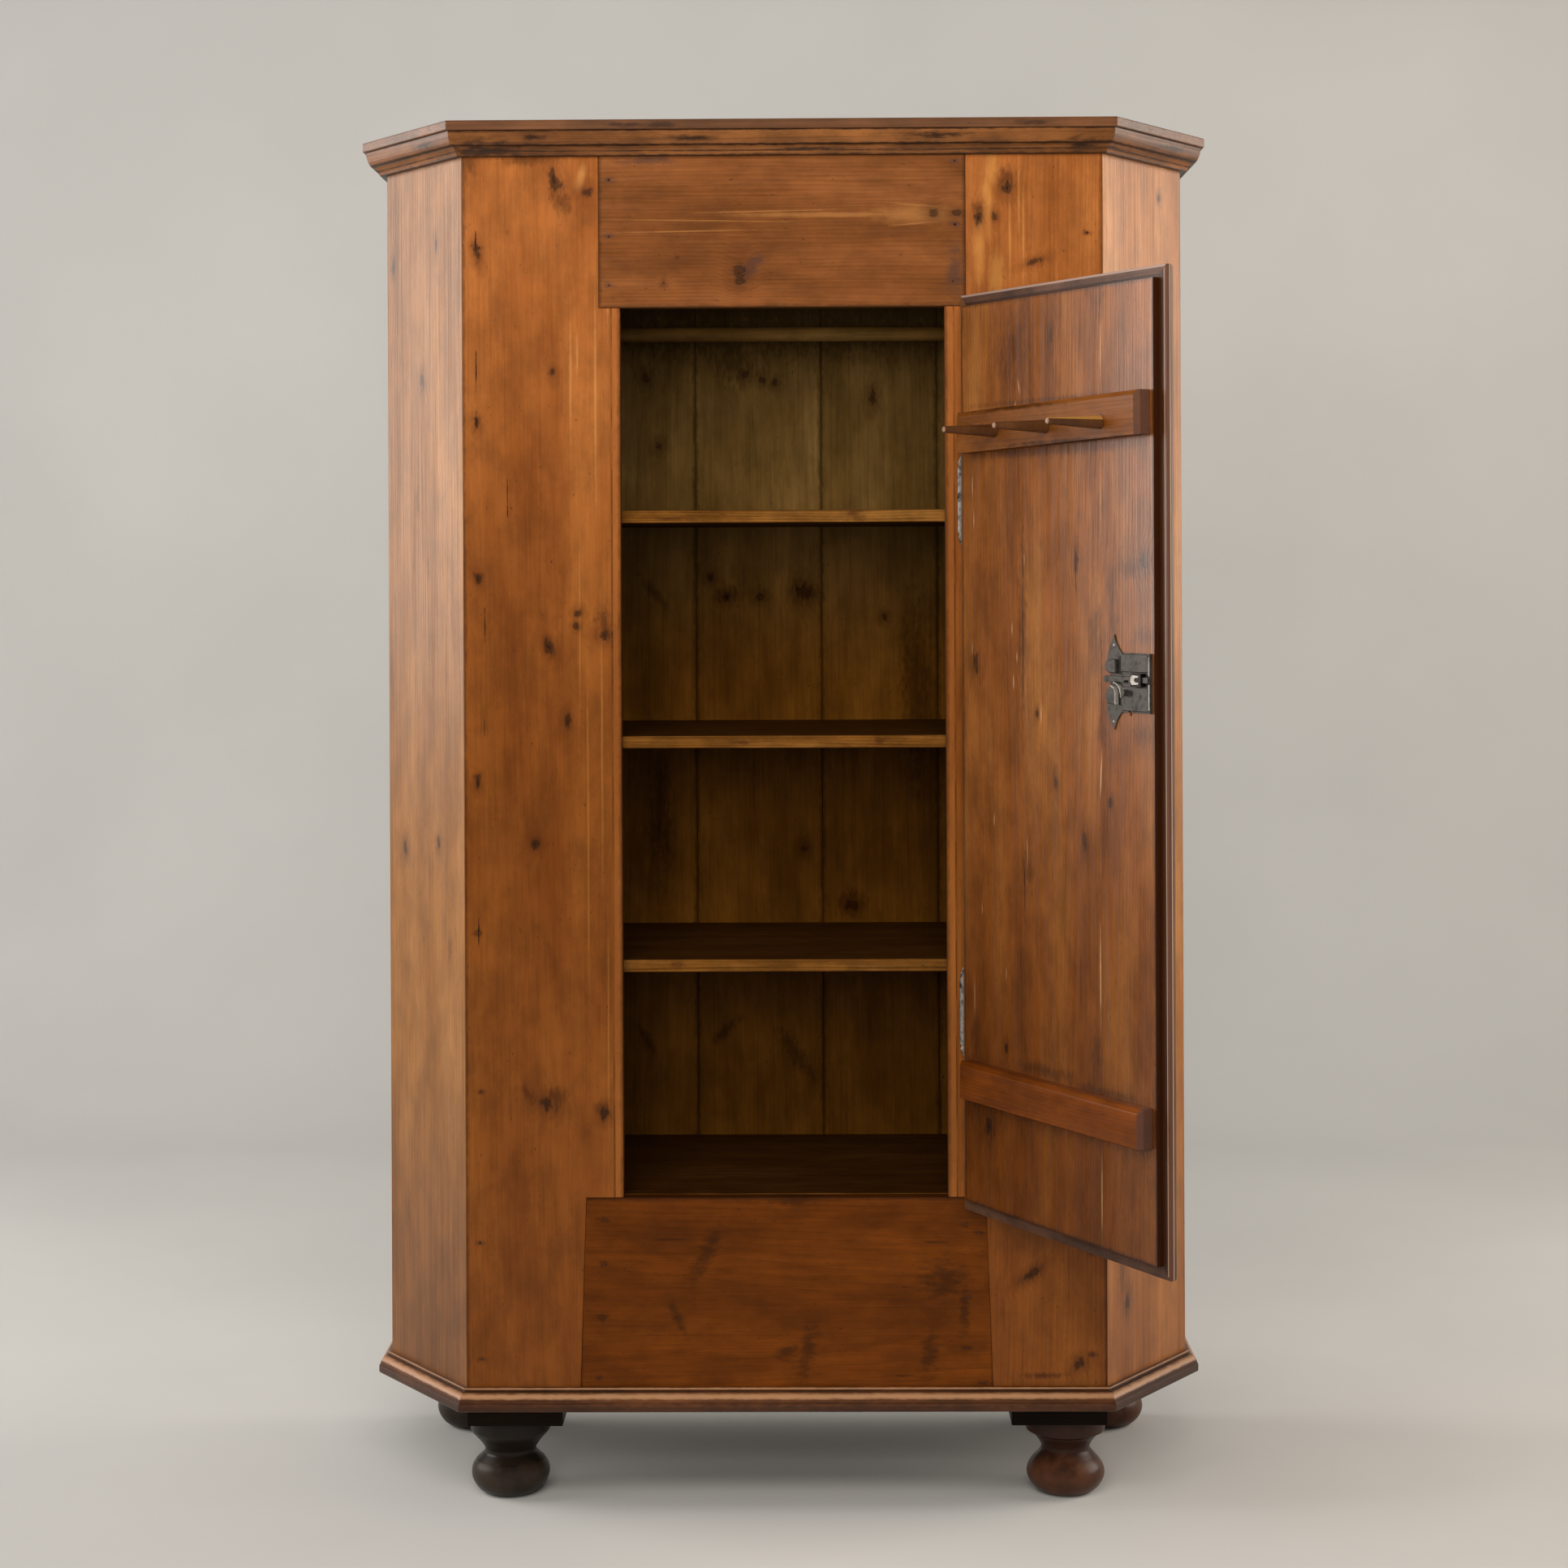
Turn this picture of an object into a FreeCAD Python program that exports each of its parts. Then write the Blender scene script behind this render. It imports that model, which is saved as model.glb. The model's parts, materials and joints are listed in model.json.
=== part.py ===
import FreeCAD, Part
import math
import os

# Single-door pine cupboard with canted front corners, on turned bun feet.
# Millimetres. +X to the right, +Y to the back, +Z up.
# The origin is on the floor, on the centre line, half way between the front and the back.

# Carcass
OVERALL_HEIGHT = 1850.0
BODY_WIDTH = 1108.0       # across the straight sides
FRONT_WIDTH = 855.0       # between the two canted corners
BODY_DEPTH = 450.0
CANT_DEPTH = 183.0        # how far back each canted panel runs
FRONT_T = 22.0            # stiles and rails
PANEL_T = 18.0            # canted panels and sides
BACK_T = 14.0
TOP_T = 13.0
TOP_OVERHANG = 32.5
TOP_EDGE_ROUND = 2.0
BASE_BOARD_T = 18.0
FLOOR_T = 18.0
SEAM = 0.6                # open line between two boards

# Front frame
OPENING_WIDTH = 433.0
TOP_RAIL_HEIGHT = 234.0
BOTTOM_RAIL_HEIGHT = 282.0
TOP_RAIL_LAP = 28.5       # how far a rail end is let over its stile
BOTTOM_RAIL_LAP = 50.0
BOTTOM_RAIL_SPLAY = 9.5   # the lower rail's ends widen downwards like a dovetail
LAP_T = 11.0

# Back boards, seams from left to right
BACK_SEAMS = (-330.0, -134.0, 52.0, 224.0, 390.0)

# Mouldings, heights and how far they stand out
CORNICE_UPPER_H = 19.0
CORNICE_LOWER_H = 13.0
CORNICE_UPPER_OUT = 28.0
CORNICE_UPPER_FOOT = 22.0
CORNICE_LOWER_OUT = 19.0
CORNICE_LOWER_FOOT = 9.0
BASE_FASCIA_H = 11.0
BASE_FASCIA_OUT = 17.5
BASE_EDGE_ROUND = 3.0     # worn lower edge of the fascia
BASE_LEDGE = 1.5          # fascia in front of the round
BASE_ROUND_H = 13.0
BASE_ROUND_IN = 9.0       # how far the round falls back to its top
BASE_QUIRK_H = 2.0        # sunk line between the round and the fillet
BASE_QUIRK_OUT = 3.5
BASE_FILLET_H = 4.0
BASE_FILLET_OUT = 5.5

# Inside fittings
SHELF_T = 17.0
SHELF_RISES = (17.5, 21.0, 27.0)   # shelf tops above an even spacing of the opening
SHELF_SETBACK = 4.0       # shelf edge behind the front frame
SHELF_CLEARANCE = 0.5
CLEAT_W = 20.0
CLEAT_H = 26.0
RAIL_R = 10.5
RAIL_DROP = 17.0          # rail centre below the opening's top edge
RAIL_SETBACK = 238.0      # rail centre behind the front face
RAIL_FIT = 0.2
SOCKET_R = 24.0
SOCKET_T = 14.0

# Feet
FOOT_HEIGHT = 110.0
PAD_T = 23.0
PAD_WIDTH = 128.0
PAD_DEPTH = 150.0
FRONT_FOOT_INSET = 50.0   # foot centre in from the canted corner
FRONT_FOOT_BACK = 80.0    # foot centre behind the front face
REAR_FOOT_INSET = 90.0    # foot centre in from the side
REAR_FOOT_FORWARD = 58.0  # foot centre ahead of the back
SOLE_R = 31.5
BALL_R = 53.0             # at its widest
BALL_MID = 28.5           # height of its widest place
BALL_STEPS = 8            # straight steps that make up the ball's swell
NECK_R = 34.5
NECK_Z = 55.0
RIDGE_R = 36.5
RIDGE_H = 5.0
CUP_R = 54.0
CUP_LIP = 24.0            # upright rim of the cup under the pad
CUP_BULGE = 1.5           # how far the cup swells beyond a straight flare
CUP_STEPS = 4
FOOT_SIDES = 32
SPIGOT_R = 15.0
SPIGOT_L = 20.0
SPIGOT_FIT = 0.15

# Door
DOOR_OPEN = 119.4         # degrees from shut
DOOR_T = 18.0
DOOR_INSET = 8.0          # how far the boards reach into the opening
DOOR_GAP = 3.0
DOOR_SEAM_FROM_FREE = 111.0
LIP_LAP = 12.0            # how far the door's moulding covers the front frame
LIP_CLEAR = 0.5
LIP_EDGE = 4.5
LIP_ROUND = 8.0
LIP_RISE = 4.5            # moulding's face in front of the boards
LIP_FLAT = 8.0
LIP_ON_BOARD = 24.0
BATTEN_T = 21.0
BATTEN_CHAMFER = 6.0
BATTEN_END_HINGE = 15.0
BATTEN_END_FREE = 6.0
UPPER_BATTEN_H = 54.0
UPPER_BATTEN_DROP = 168.0  # batten centre below the opening's top edge
UPPER_BATTEN_TILT = 1.2    # degrees, as it was nailed on
LOWER_BATTEN_H = 49.0
LOWER_BATTEN_RISE = 167.0  # batten centre above the opening's lower edge
PEG_COUNT = 3
PEG_FIRST = 112.0          # from the boards' hinge edge
PEG_PITCH = 117.0
PEG_DROP = 173.0           # pegs' line below the opening's top edge
PEG_L = 78.0
PEG_R = 8.5
PEG_TIP_R = 4.2
PEG_BEVEL = 1.5
PEG_SIDES = 16
PEG_TENON_R = 6.0
PEG_TENON_L = 16.0
PEG_FIT = 0.1

# Hinges
HINGE_SET = 20.8           # pin to the right of the opening's edge
HINGE_OUT = 5.5            # pin in front of the front face
UPPER_HINGE_DROP = 259.0   # hinge middle below the opening's top edge
LOWER_HINGE_RISE = 248.0   # hinge middle above the opening's lower edge
KNUCKLE_R = 5.0
KNUCKLE_L = 43.0
KNUCKLE_GAP = 0.2
FINIAL_L = 16.0
FINIAL_NECK_R = 3.0
FINIAL_NECK_H = 3.0
FINIAL_BUD_R = 4.4
FINIAL_BUD_H = 3.5
FINIAL_TIP_R = 0.6
FINIAL_SIDES = 12
PIN_R = 2.5
PIN_L = 34.0
PIN_FIT = 0.05
LEAF_T = 2.0
LEAF_L = 34.0
LEAF_IN_STILE = 16.0
LEAF_IN_BOARD = 17.0
LEAF_FIT = 0.1

# Lock, measured from the boards' free edge
BOLT_RISE = 109.0          # bolt's centre line above the middle of the opening
LOCK_EDGE = 4.0
LOCK_PLATE_T = 2.0
LOCK_BODY_W = 60.0
LOCK_ABOVE = 32.0
LOCK_BELOW = 40.0
EAR_REACH = 80.0
EAR_RISE = 22.0
LOBE_REACH = 96.0
WAIST_REACH = 87.0
SELVEDGE_T = 2.0
SELVEDGE_H = 11.0
BOLT_H = 7.0
BOLT_T = 5.0
BOLT_L = 91.0
BOLT_THROW = 12.0
BOLT_CLEAR = 0.3
BOLT_NOTCH_W = 9.0
BOLT_NOTCH_D = 2.5
MORTISE_CLEAR = 1.0
STAPLE_FROM_EDGE = 15.0
STAPLE_W = 21.0
STAPLE_FOOT = 4.0
STAPLE_T = 2.0
SPRING_REACH = 76.0
SPRING_R = 16.0
SPRING_T = 1.4
SPRING_SWEEP = 100.0       # degrees of the spring's bow
KEY_REACH = 48.0
KEY_DROP = 16.0            # key post below the bolt's centre line
POST_R = 4.0
POST_COLLAR_R = 6.0
POST_COLLAR_H = 3.0
POST_H = 11.0
KEYHOLE_DROP = 14.0        # keyhole's round below the key post
KEYHOLE_R = 4.0
KEYHOLE_SLOT_W = 4.5
KEYHOLE_SLOT_L = 14.0
ESCUTCHEON_R = 13.0
ESCUTCHEON_L = 26.0        # between the two rounds of the oval
ESCUTCHEON_T = 1.6

# Places that follow from the sizes above
X = FreeCAD.Vector(1, 0, 0)
Y = FreeCAD.Vector(0, 1, 0)
Z = FreeCAD.Vector(0, 0, 1)
FRONT = -BODY_DEPTH / 2
REAR = BODY_DEPTH / 2
BACK_FACE = REAR - BACK_T            # inner face of the back boards
FRAME_BACK = FRONT + FRONT_T
BODY_BOTTOM = FOOT_HEIGHT + PAD_T
BODY_TOP = OVERALL_HEIGHT - TOP_T
HALF_OPEN = OPENING_WIDTH / 2
OPENING_BOTTOM = BODY_BOTTOM + BOTTOM_RAIL_HEIGHT
OPENING_TOP = BODY_TOP - TOP_RAIL_HEIGHT
BOARD_HALF = HALF_OPEN - DOOR_GAP
BOARD_BOTTOM = OPENING_BOTTOM + DOOR_GAP
BOARD_TOP = OPENING_TOP - DOOR_GAP
BOARD_IN = FRONT + DOOR_INSET        # inner face of the door boards, door shut
BOARD_OUT = BOARD_IN - DOOR_T
HINGE_X = HALF_OPEN + HINGE_SET
HINGE_Y = FRONT - HINGE_OUT
HINGE_HEIGHTS = {
    "upper": OPENING_TOP - UPPER_HINGE_DROP,
    "lower": OPENING_BOTTOM + LOWER_HINGE_RISE,
}
SHELF_PITCH = (OPENING_TOP - OPENING_BOTTOM) / (len(SHELF_RISES) + 1)
SHELF_TOPS = [OPENING_BOTTOM + (i + 1) * SHELF_PITCH + rise for i, rise in enumerate(SHELF_RISES)]
BOLT_Z = (OPENING_BOTTOM + OPENING_TOP) / 2 + BOLT_RISE
PLATE_FACE = BOARD_IN + LOCK_PLATE_T
FREE_EDGE = -BOARD_HALF

# Plan of the body: right-hand corners and the outward directions of its faces
CORNER_FRONT = FreeCAD.Vector(FRONT_WIDTH / 2, FRONT, 0)
CORNER_CANT = FreeCAD.Vector(BODY_WIDTH / 2, FRONT + CANT_DEPTH, 0)
CORNER_BACK = FreeCAD.Vector(BODY_WIDTH / 2, REAR, 0)
CANT_RUN = CORNER_CANT - CORNER_FRONT
CANT_NORMAL = FreeCAD.Vector(CANT_RUN.y, -CANT_RUN.x, 0).normalize()


def mirrored(point):
    return FreeCAD.Vector(-point.x, point.y, point.z)


def corner_shifted(corner, normal_a, shift_a, normal_b, shift_b):
    # where two faces meet after each has moved out along its own normal
    spread = normal_a.x * normal_b.y - normal_a.y * normal_b.x
    dx = (shift_a * normal_b.y - shift_b * normal_a.y) / spread
    dy = (shift_b * normal_a.x - shift_a * normal_b.x) / spread
    return corner + FreeCAD.Vector(dx, dy, 0)


def front_corner(front_shift, cant_shift):
    return corner_shifted(CORNER_FRONT, -Y, front_shift, CANT_NORMAL, cant_shift)


def cant_corner(cant_shift, side_shift):
    return corner_shifted(CORNER_CANT, CANT_NORMAL, cant_shift, X, side_shift)


def prism(points, bottom, top):
    # upright solid on a plan outline
    lifted = [FreeCAD.Vector(p.x, p.y, bottom) for p in points]
    return Part.Face(Part.makePolygon(lifted + lifted[:1])).extrude(Z * (top - bottom))


def slab(points, near, far):
    # solid from an outline in X and Z, between two Y places
    laid = [FreeCAD.Vector(x, near, z) for x, z in points]
    return Part.Face(Part.makePolygon(laid + laid[:1])).extrude(Y * (far - near))


def block(low, high):
    size = [high[i] - low[i] for i in range(3)]
    return Part.makeBox(size[0], size[1], size[2], FreeCAD.Vector(low[0], low[1], low[2]))


def outline_wire(place, start, steps):
    # a step is an end point, or a point passed through and an end point for an arc
    edges = []
    here = place(*start)
    for step in steps:
        if isinstance(step[0], tuple):
            there = place(*step[1])
            edges.append(Part.Arc(here, place(*step[0]), there).toShape())
        else:
            there = place(*step)
            edges.append(Part.LineSegment(here, there).toShape())
        here = there
    return Part.Wire(edges)


def faceted(outline, sides):
    # turned form with flat sides, a ring of plane faces for each step of a radius and height outline
    turns = [2 * math.pi * i / sides for i in range(sides)]
    rings = [[FreeCAD.Vector(r * math.cos(t), r * math.sin(t), z) for t in turns] for r, z in outline]
    panes = [rings[0], rings[-1]]
    for low, high in zip(rings, rings[1:]):
        panes += [[low[i - 1], low[i], high[i], high[i - 1]] for i in range(sides)]
    return Part.Solid(Part.Shell([Part.Face(Part.makePolygon(pane + pane[:1])) for pane in panes]))


def stepped_arc(start, through, end, count):
    # radius and height points along an arc, as a few straight steps
    arc = Part.Arc(*[FreeCAD.Vector(r, 0, z) for r, z in (start, through, end)])
    return [(p.x, p.z) for p in arc.discretize(count + 1)]


def joined(shape, *others):
    return shape.fuse(list(others)).removeSplitter().Solids[0]


def mitre(normal_a, normal_b):
    return (normal_a + normal_b) * (1 / (1 + normal_a.dot(normal_b)))


def moulding_run(section, start, end, normal, rise, mitre_start, mitre_end):
    # a straight moulding from start to end, its two ends cut to the mitres
    begin, steps = section
    along = (end - start).normalize()
    reach = 2 * max(abs(v) for step in steps for v in (step[1] if isinstance(step[0], tuple) else step))
    foot = start - along * reach
    wire = outline_wire(lambda d, h: foot + normal * d + rise * h, begin, steps)
    run = Part.Face(wire).extrude(along * (start.distanceToPoint(end) + 2 * reach))
    cut = [start + mitre_start * reach, end + mitre_end * reach]
    cut += [end - mitre_end * reach, start - mitre_start * reach]
    cut = [p - rise * reach for p in cut]
    return run.common(Part.Face(Part.makePolygon(cut + cut[:1])).extrude(rise * (2 * reach))).Solids[0]


# Carcass

def rail_laps():
    # the front halves of the two rails, which lie in notches in the stiles
    top_half = HALF_OPEN + TOP_RAIL_LAP
    low_half = HALF_OPEN + BOTTOM_RAIL_LAP
    low_wide = low_half + BOTTOM_RAIL_SPLAY
    top = slab([(-top_half, OPENING_TOP), (top_half, OPENING_TOP), (top_half, BODY_TOP),
                (-top_half, BODY_TOP)], FRONT, FRONT + LAP_T)
    bottom = slab([(-low_wide, BODY_BOTTOM), (low_wide, BODY_BOTTOM), (low_half, OPENING_BOTTOM),
                   (-low_half, OPENING_BOTTOM)], FRONT, FRONT + LAP_T)
    return top, bottom


def rails():
    top_lap, bottom_lap = rail_laps()
    top_tongue = block((-HALF_OPEN, FRONT + LAP_T, OPENING_TOP), (HALF_OPEN, FRAME_BACK, BODY_TOP))
    low_tongue = block((-HALF_OPEN, FRONT + LAP_T, BODY_BOTTOM), (HALF_OPEN, FRAME_BACK, OPENING_BOTTOM))
    return {"top_rail": joined(top_lap, top_tongue), "bottom_rail": joined(bottom_lap, low_tongue)}


def stiles():
    plan = [FreeCAD.Vector(HALF_OPEN, FRONT, 0), CORNER_FRONT, front_corner(-FRONT_T, -PANEL_T),
            FreeCAD.Vector(HALF_OPEN, FRAME_BACK, 0)]
    laps = list(rail_laps())
    right = prism(plan, BODY_BOTTOM, BODY_TOP).cut(laps)
    left = prism([mirrored(p) for p in plan], BODY_BOTTOM, BODY_TOP).cut(laps)
    for middle in HINGE_HEIGHTS.values():
        right = right.cut(stile_leaf(middle, LEAF_FIT))
    left = left.cut(bolt_mortise())
    return {"stile_left": left.Solids[0], "stile_right": right.Solids[0]}


def bolt_mortise():
    # pocket in the left stile's edge that takes the shot bolt
    depth = BOLT_THROW + MORTISE_CLEAR
    near = PLATE_FACE + BOLT_CLEAR - MORTISE_CLEAR
    low = (-HALF_OPEN - depth, near, BOLT_Z - BOLT_H / 2 - MORTISE_CLEAR)
    high = (-HALF_OPEN, near + BOLT_T + 2 * MORTISE_CLEAR, BOLT_Z + BOLT_H / 2 + MORTISE_CLEAR)
    return block(low, high)


def side_walls():
    back_out = FreeCAD.Vector(CORNER_BACK.x, BACK_FACE, 0)
    back_in = back_out - X * PANEL_T
    cant_in = cant_corner(-PANEL_T, -PANEL_T)
    cant = [CORNER_FRONT, CORNER_CANT, cant_in, front_corner(-FRONT_T, -PANEL_T)]
    side = [CORNER_CANT, back_out, back_in, cant_in]
    walls = {}
    for name, plan in (("cant_panel", cant), ("side_panel", side)):
        walls[name + "_right"] = prism(plan, BODY_BOTTOM, BODY_TOP)
        walls[name + "_left"] = prism([mirrored(p) for p in plan], BODY_BOTTOM, BODY_TOP)
    return walls


def back_boards():
    edges = (-BODY_WIDTH / 2,) + BACK_SEAMS + (BODY_WIDTH / 2,)
    boards = {}
    for i in range(len(edges) - 1):
        left = edges[i] + (SEAM / 2 if i > 0 else 0)
        right = edges[i + 1] - (SEAM / 2 if i < len(edges) - 2 else 0)
        boards["back_board_%d" % (i + 1)] = block((left, BACK_FACE, BODY_BOTTOM), (right, REAR, BODY_TOP))
    return boards


def inside_plan(front, clearance):
    # plan of a board that lies inside the walls, its front edge at a given Y
    wall = PANEL_T + clearance
    cant = front_corner(FRONT - front, -wall)
    rear = cant_corner(-wall, -wall)
    back = FreeCAD.Vector(rear.x, BACK_FACE, 0)
    right = [cant, rear, back]
    return right + [mirrored(p) for p in reversed(right)]


def inside_boards():
    boards = {}
    fitted = inside_plan(FRAME_BACK, 0)
    boards["base_board"] = prism(fitted, BODY_BOTTOM, BODY_BOTTOM + BASE_BOARD_T)
    boards["cupboard_floor"] = prism(fitted, OPENING_BOTTOM - FLOOR_T, OPENING_BOTTOM)
    plan = inside_plan(FRAME_BACK + SHELF_SETBACK, SHELF_CLEARANCE)
    for name, top in zip(("shelf_lower", "shelf_middle", "shelf_upper"), SHELF_TOPS):
        boards[name] = prism(plan, top - SHELF_T, top)
    return boards


def shelf_cleats():
    # strips along both sides, under the floor and under every shelf
    wall = BODY_WIDTH / 2 - PANEL_T
    front = cant_corner(-PANEL_T, -PANEL_T).y
    undersides = [OPENING_BOTTOM - FLOOR_T] + [top - SHELF_T for top in SHELF_TOPS]
    cleats = []
    for top in undersides:
        cleats.append(block((wall - CLEAT_W, front, top - CLEAT_H), (wall, BACK_FACE, top)))
        cleats.append(block((-wall, front, top - CLEAT_H), (CLEAT_W - wall, BACK_FACE, top)))
    return Part.makeCompound(cleats)


def hanging_rail():
    wall = BODY_WIDTH / 2 - PANEL_T
    height = OPENING_TOP - RAIL_DROP
    depth = FRONT + RAIL_SETBACK
    rail = Part.makeCylinder(RAIL_R, 2 * wall, FreeCAD.Vector(-wall, depth, height), X)
    sockets = []
    for start in (-wall, wall - SOCKET_T):
        foot = FreeCAD.Vector(start, depth, height)
        ring = Part.makeCylinder(SOCKET_R, SOCKET_T, foot, X)
        sockets.append(ring.cut(Part.makeCylinder(RAIL_R + RAIL_FIT, SOCKET_T, foot, X)))
    return {"hanging_rail": rail, "rail_sockets": Part.makeCompound(sockets)}


def top_board():
    right = [front_corner(TOP_OVERHANG, TOP_OVERHANG), cant_corner(TOP_OVERHANG, TOP_OVERHANG),
             CORNER_BACK + X * TOP_OVERHANG]
    board = prism(right + [mirrored(p) for p in reversed(right)], BODY_TOP, OVERALL_HEIGHT)
    edges = [e for e in board.Edges if abs(e.BoundBox.ZLength) < 1 and e.BoundBox.YMin < REAR - 1]
    return board.makeFillet(TOP_EDGE_ROUND, edges)


def cornice_section():
    # height counts from the cornice's lower edge up to the top board
    low = CORNICE_LOWER_H
    top = low + CORNICE_UPPER_H
    bow = ((CORNICE_UPPER_OUT + CORNICE_UPPER_FOOT) / 2 + 1.5, low + CORNICE_UPPER_H / 2)
    cove = ((CORNICE_LOWER_OUT + CORNICE_LOWER_FOOT) / 2 - 1.5, low / 2)
    return (0, 0), [(CORNICE_LOWER_FOOT, 0), (cove, (CORNICE_LOWER_OUT, low)), (CORNICE_UPPER_FOOT, low),
                    (bow, (CORNICE_UPPER_OUT, top)), (0, top), (0, 0)]


def base_section():
    # fascia with a worn edge, a round that falls back over it, a quirk and a fillet
    worn = BASE_EDGE_ROUND * (1 - math.sqrt(0.5))
    edge = (BASE_FASCIA_OUT - worn, worn)
    round_out = BASE_FASCIA_OUT - BASE_LEDGE
    radius = (BASE_ROUND_IN ** 2 + BASE_ROUND_H ** 2) / (2 * BASE_ROUND_IN)
    half_turn = math.atan2(BASE_ROUND_H, radius - BASE_ROUND_IN) / 2
    crown = (round_out - radius + radius * math.cos(half_turn), BASE_FASCIA_H + radius * math.sin(half_turn))
    round_top = BASE_FASCIA_H + BASE_ROUND_H
    quirk_top = round_top + BASE_QUIRK_H
    top = quirk_top + BASE_FILLET_H
    return (0, 0), [(BASE_FASCIA_OUT - BASE_EDGE_ROUND, 0), (edge, (BASE_FASCIA_OUT, BASE_EDGE_ROUND)),
                    (BASE_FASCIA_OUT, BASE_FASCIA_H), (round_out, BASE_FASCIA_H),
                    (crown, (round_out - BASE_ROUND_IN, round_top)), (BASE_QUIRK_OUT, round_top),
                    (BASE_QUIRK_OUT, quirk_top), (BASE_FILLET_OUT, quirk_top), (BASE_FILLET_OUT, top),
                    (0, top), (0, 0)]


def moulding_round_body(name, section, bottom):
    # five mitred lengths: side, cant, front, cant, side
    right = [CORNER_FRONT, CORNER_CANT, CORNER_BACK]
    corners = [mirrored(p) for p in reversed(right)] + right
    normals = [-X, mirrored(CANT_NORMAL), -Y, CANT_NORMAL, X]
    mitres = [normals[0]] + [mitre(normals[i], normals[i + 1]) for i in range(4)] + [normals[4]]
    labels = ("side_left", "cant_left", "front", "cant_right", "side_right")
    runs = {}
    for i, label in enumerate(labels):
        start = corners[i] + Z * bottom
        end = corners[i + 1] + Z * bottom
        run = moulding_run(section, start, end, normals[i], Z, mitres[i], mitres[i + 1])
        runs[name + "_" + label] = run
    return runs


def foot_spots():
    front_x = FRONT_WIDTH / 2 - FRONT_FOOT_INSET
    rear_x = BODY_WIDTH / 2 - REAR_FOOT_INSET
    front_y = FRONT + FRONT_FOOT_BACK
    rear_y = REAR - REAR_FOOT_FORWARD
    return {"front_left": (-front_x, front_y), "front_right": (front_x, front_y),
            "rear_left": (-rear_x, rear_y), "rear_right": (rear_x, rear_y)}


def bun_foot():
    # ball, neck with a small ridge, and a cup that opens up to the pad
    neck = (NECK_R, NECK_Z + RIDGE_H)
    lip = (CUP_R, FOOT_HEIGHT - CUP_LIP)
    bulge = ((NECK_R + CUP_R + CUP_BULGE) / 2, (neck[1] + lip[1] - CUP_BULGE) / 2)
    outline = stepped_arc((SOLE_R, 0), (BALL_R, BALL_MID), (NECK_R, NECK_Z), BALL_STEPS)
    outline += [(RIDGE_R, NECK_Z + RIDGE_H / 2)]
    outline += stepped_arc(neck, bulge, lip, CUP_STEPS)
    outline += [(CUP_R, FOOT_HEIGHT)]
    spigot = Part.makeCylinder(SPIGOT_R, SPIGOT_L, Z * FOOT_HEIGHT)
    return joined(faceted(outline, FOOT_SIDES), spigot)


def pads(spots):
    # square blocks under the carcass corners, the front ones behind the front face
    inner = FRONT_WIDTH / 2 - PAD_WIDTH
    front = [FreeCAD.Vector(inner, FRONT, 0), CORNER_FRONT, CORNER_FRONT + Y * PAD_DEPTH,
             FreeCAD.Vector(inner, FRONT + PAD_DEPTH, 0)]
    rear_in = BODY_WIDTH / 2 - PAD_DEPTH
    rear = [FreeCAD.Vector(rear_in, REAR - PAD_WIDTH, 0), CORNER_BACK - Y * PAD_WIDTH, CORNER_BACK,
            FreeCAD.Vector(rear_in, REAR, 0)]
    made = {}
    for end, plan in (("front", front), ("rear", rear)):
        pair = []
        for side, outline in (("right", plan), ("left", [mirrored(p) for p in plan])):
            x, y = spots[end + "_" + side]
            hole = Part.makeCylinder(SPIGOT_R + SPIGOT_FIT, PAD_T, FreeCAD.Vector(x, y, FOOT_HEIGHT))
            pair.append(prism(outline, FOOT_HEIGHT, BODY_BOTTOM).cut(hole).Solids[0])
        made[end + "_pads"] = Part.makeCompound(pair)
    return made


def feet():
    spots = foot_spots()
    made = pads(spots)
    for place, (x, y) in spots.items():
        made["foot_" + place] = bun_foot().translated(FreeCAD.Vector(x, y, 0))
    return made


# Hinges

def stile_leaf(middle, fit):
    # leaf of the frame half, let straight back into the stile below the hinge's middle
    low = middle - KNUCKLE_GAP / 2 - (KNUCKLE_L + LEAF_L) / 2
    return block((HINGE_X - LEAF_T / 2 - fit, HINGE_Y, low - fit),
                 (HINGE_X + LEAF_T / 2 + fit, FRONT + LEAF_IN_STILE + fit, low + LEAF_L + fit))


def board_leaf(middle, fit):
    # leaf of the door half, let into the door's edge above the hinge's middle
    low = middle + KNUCKLE_GAP / 2 + (KNUCKLE_L - LEAF_L) / 2
    return block((BOARD_HALF - LEAF_IN_BOARD - fit, HINGE_Y - LEAF_T / 2 - fit, low - fit),
                 (HINGE_X, HINGE_Y + LEAF_T / 2 + fit, low + LEAF_L + fit))


def knuckle(bore_r, bore_l):
    # pointed barrel standing on its flat end, bored from that end
    collar = KNUCKLE_L + FINIAL_NECK_H
    bud = collar + FINIAL_BUD_H
    tip = KNUCKLE_L + FINIAL_L
    finial = faceted([(FINIAL_BUD_R, KNUCKLE_L), (FINIAL_NECK_R, collar), (FINIAL_BUD_R, bud),
                      (FINIAL_TIP_R, tip)], FINIAL_SIDES)
    barrel = joined(Part.makeCylinder(KNUCKLE_R, KNUCKLE_L), finial)
    if bore_r:
        barrel = barrel.cut(Part.makeCylinder(bore_r, bore_l))
    return barrel


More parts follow.
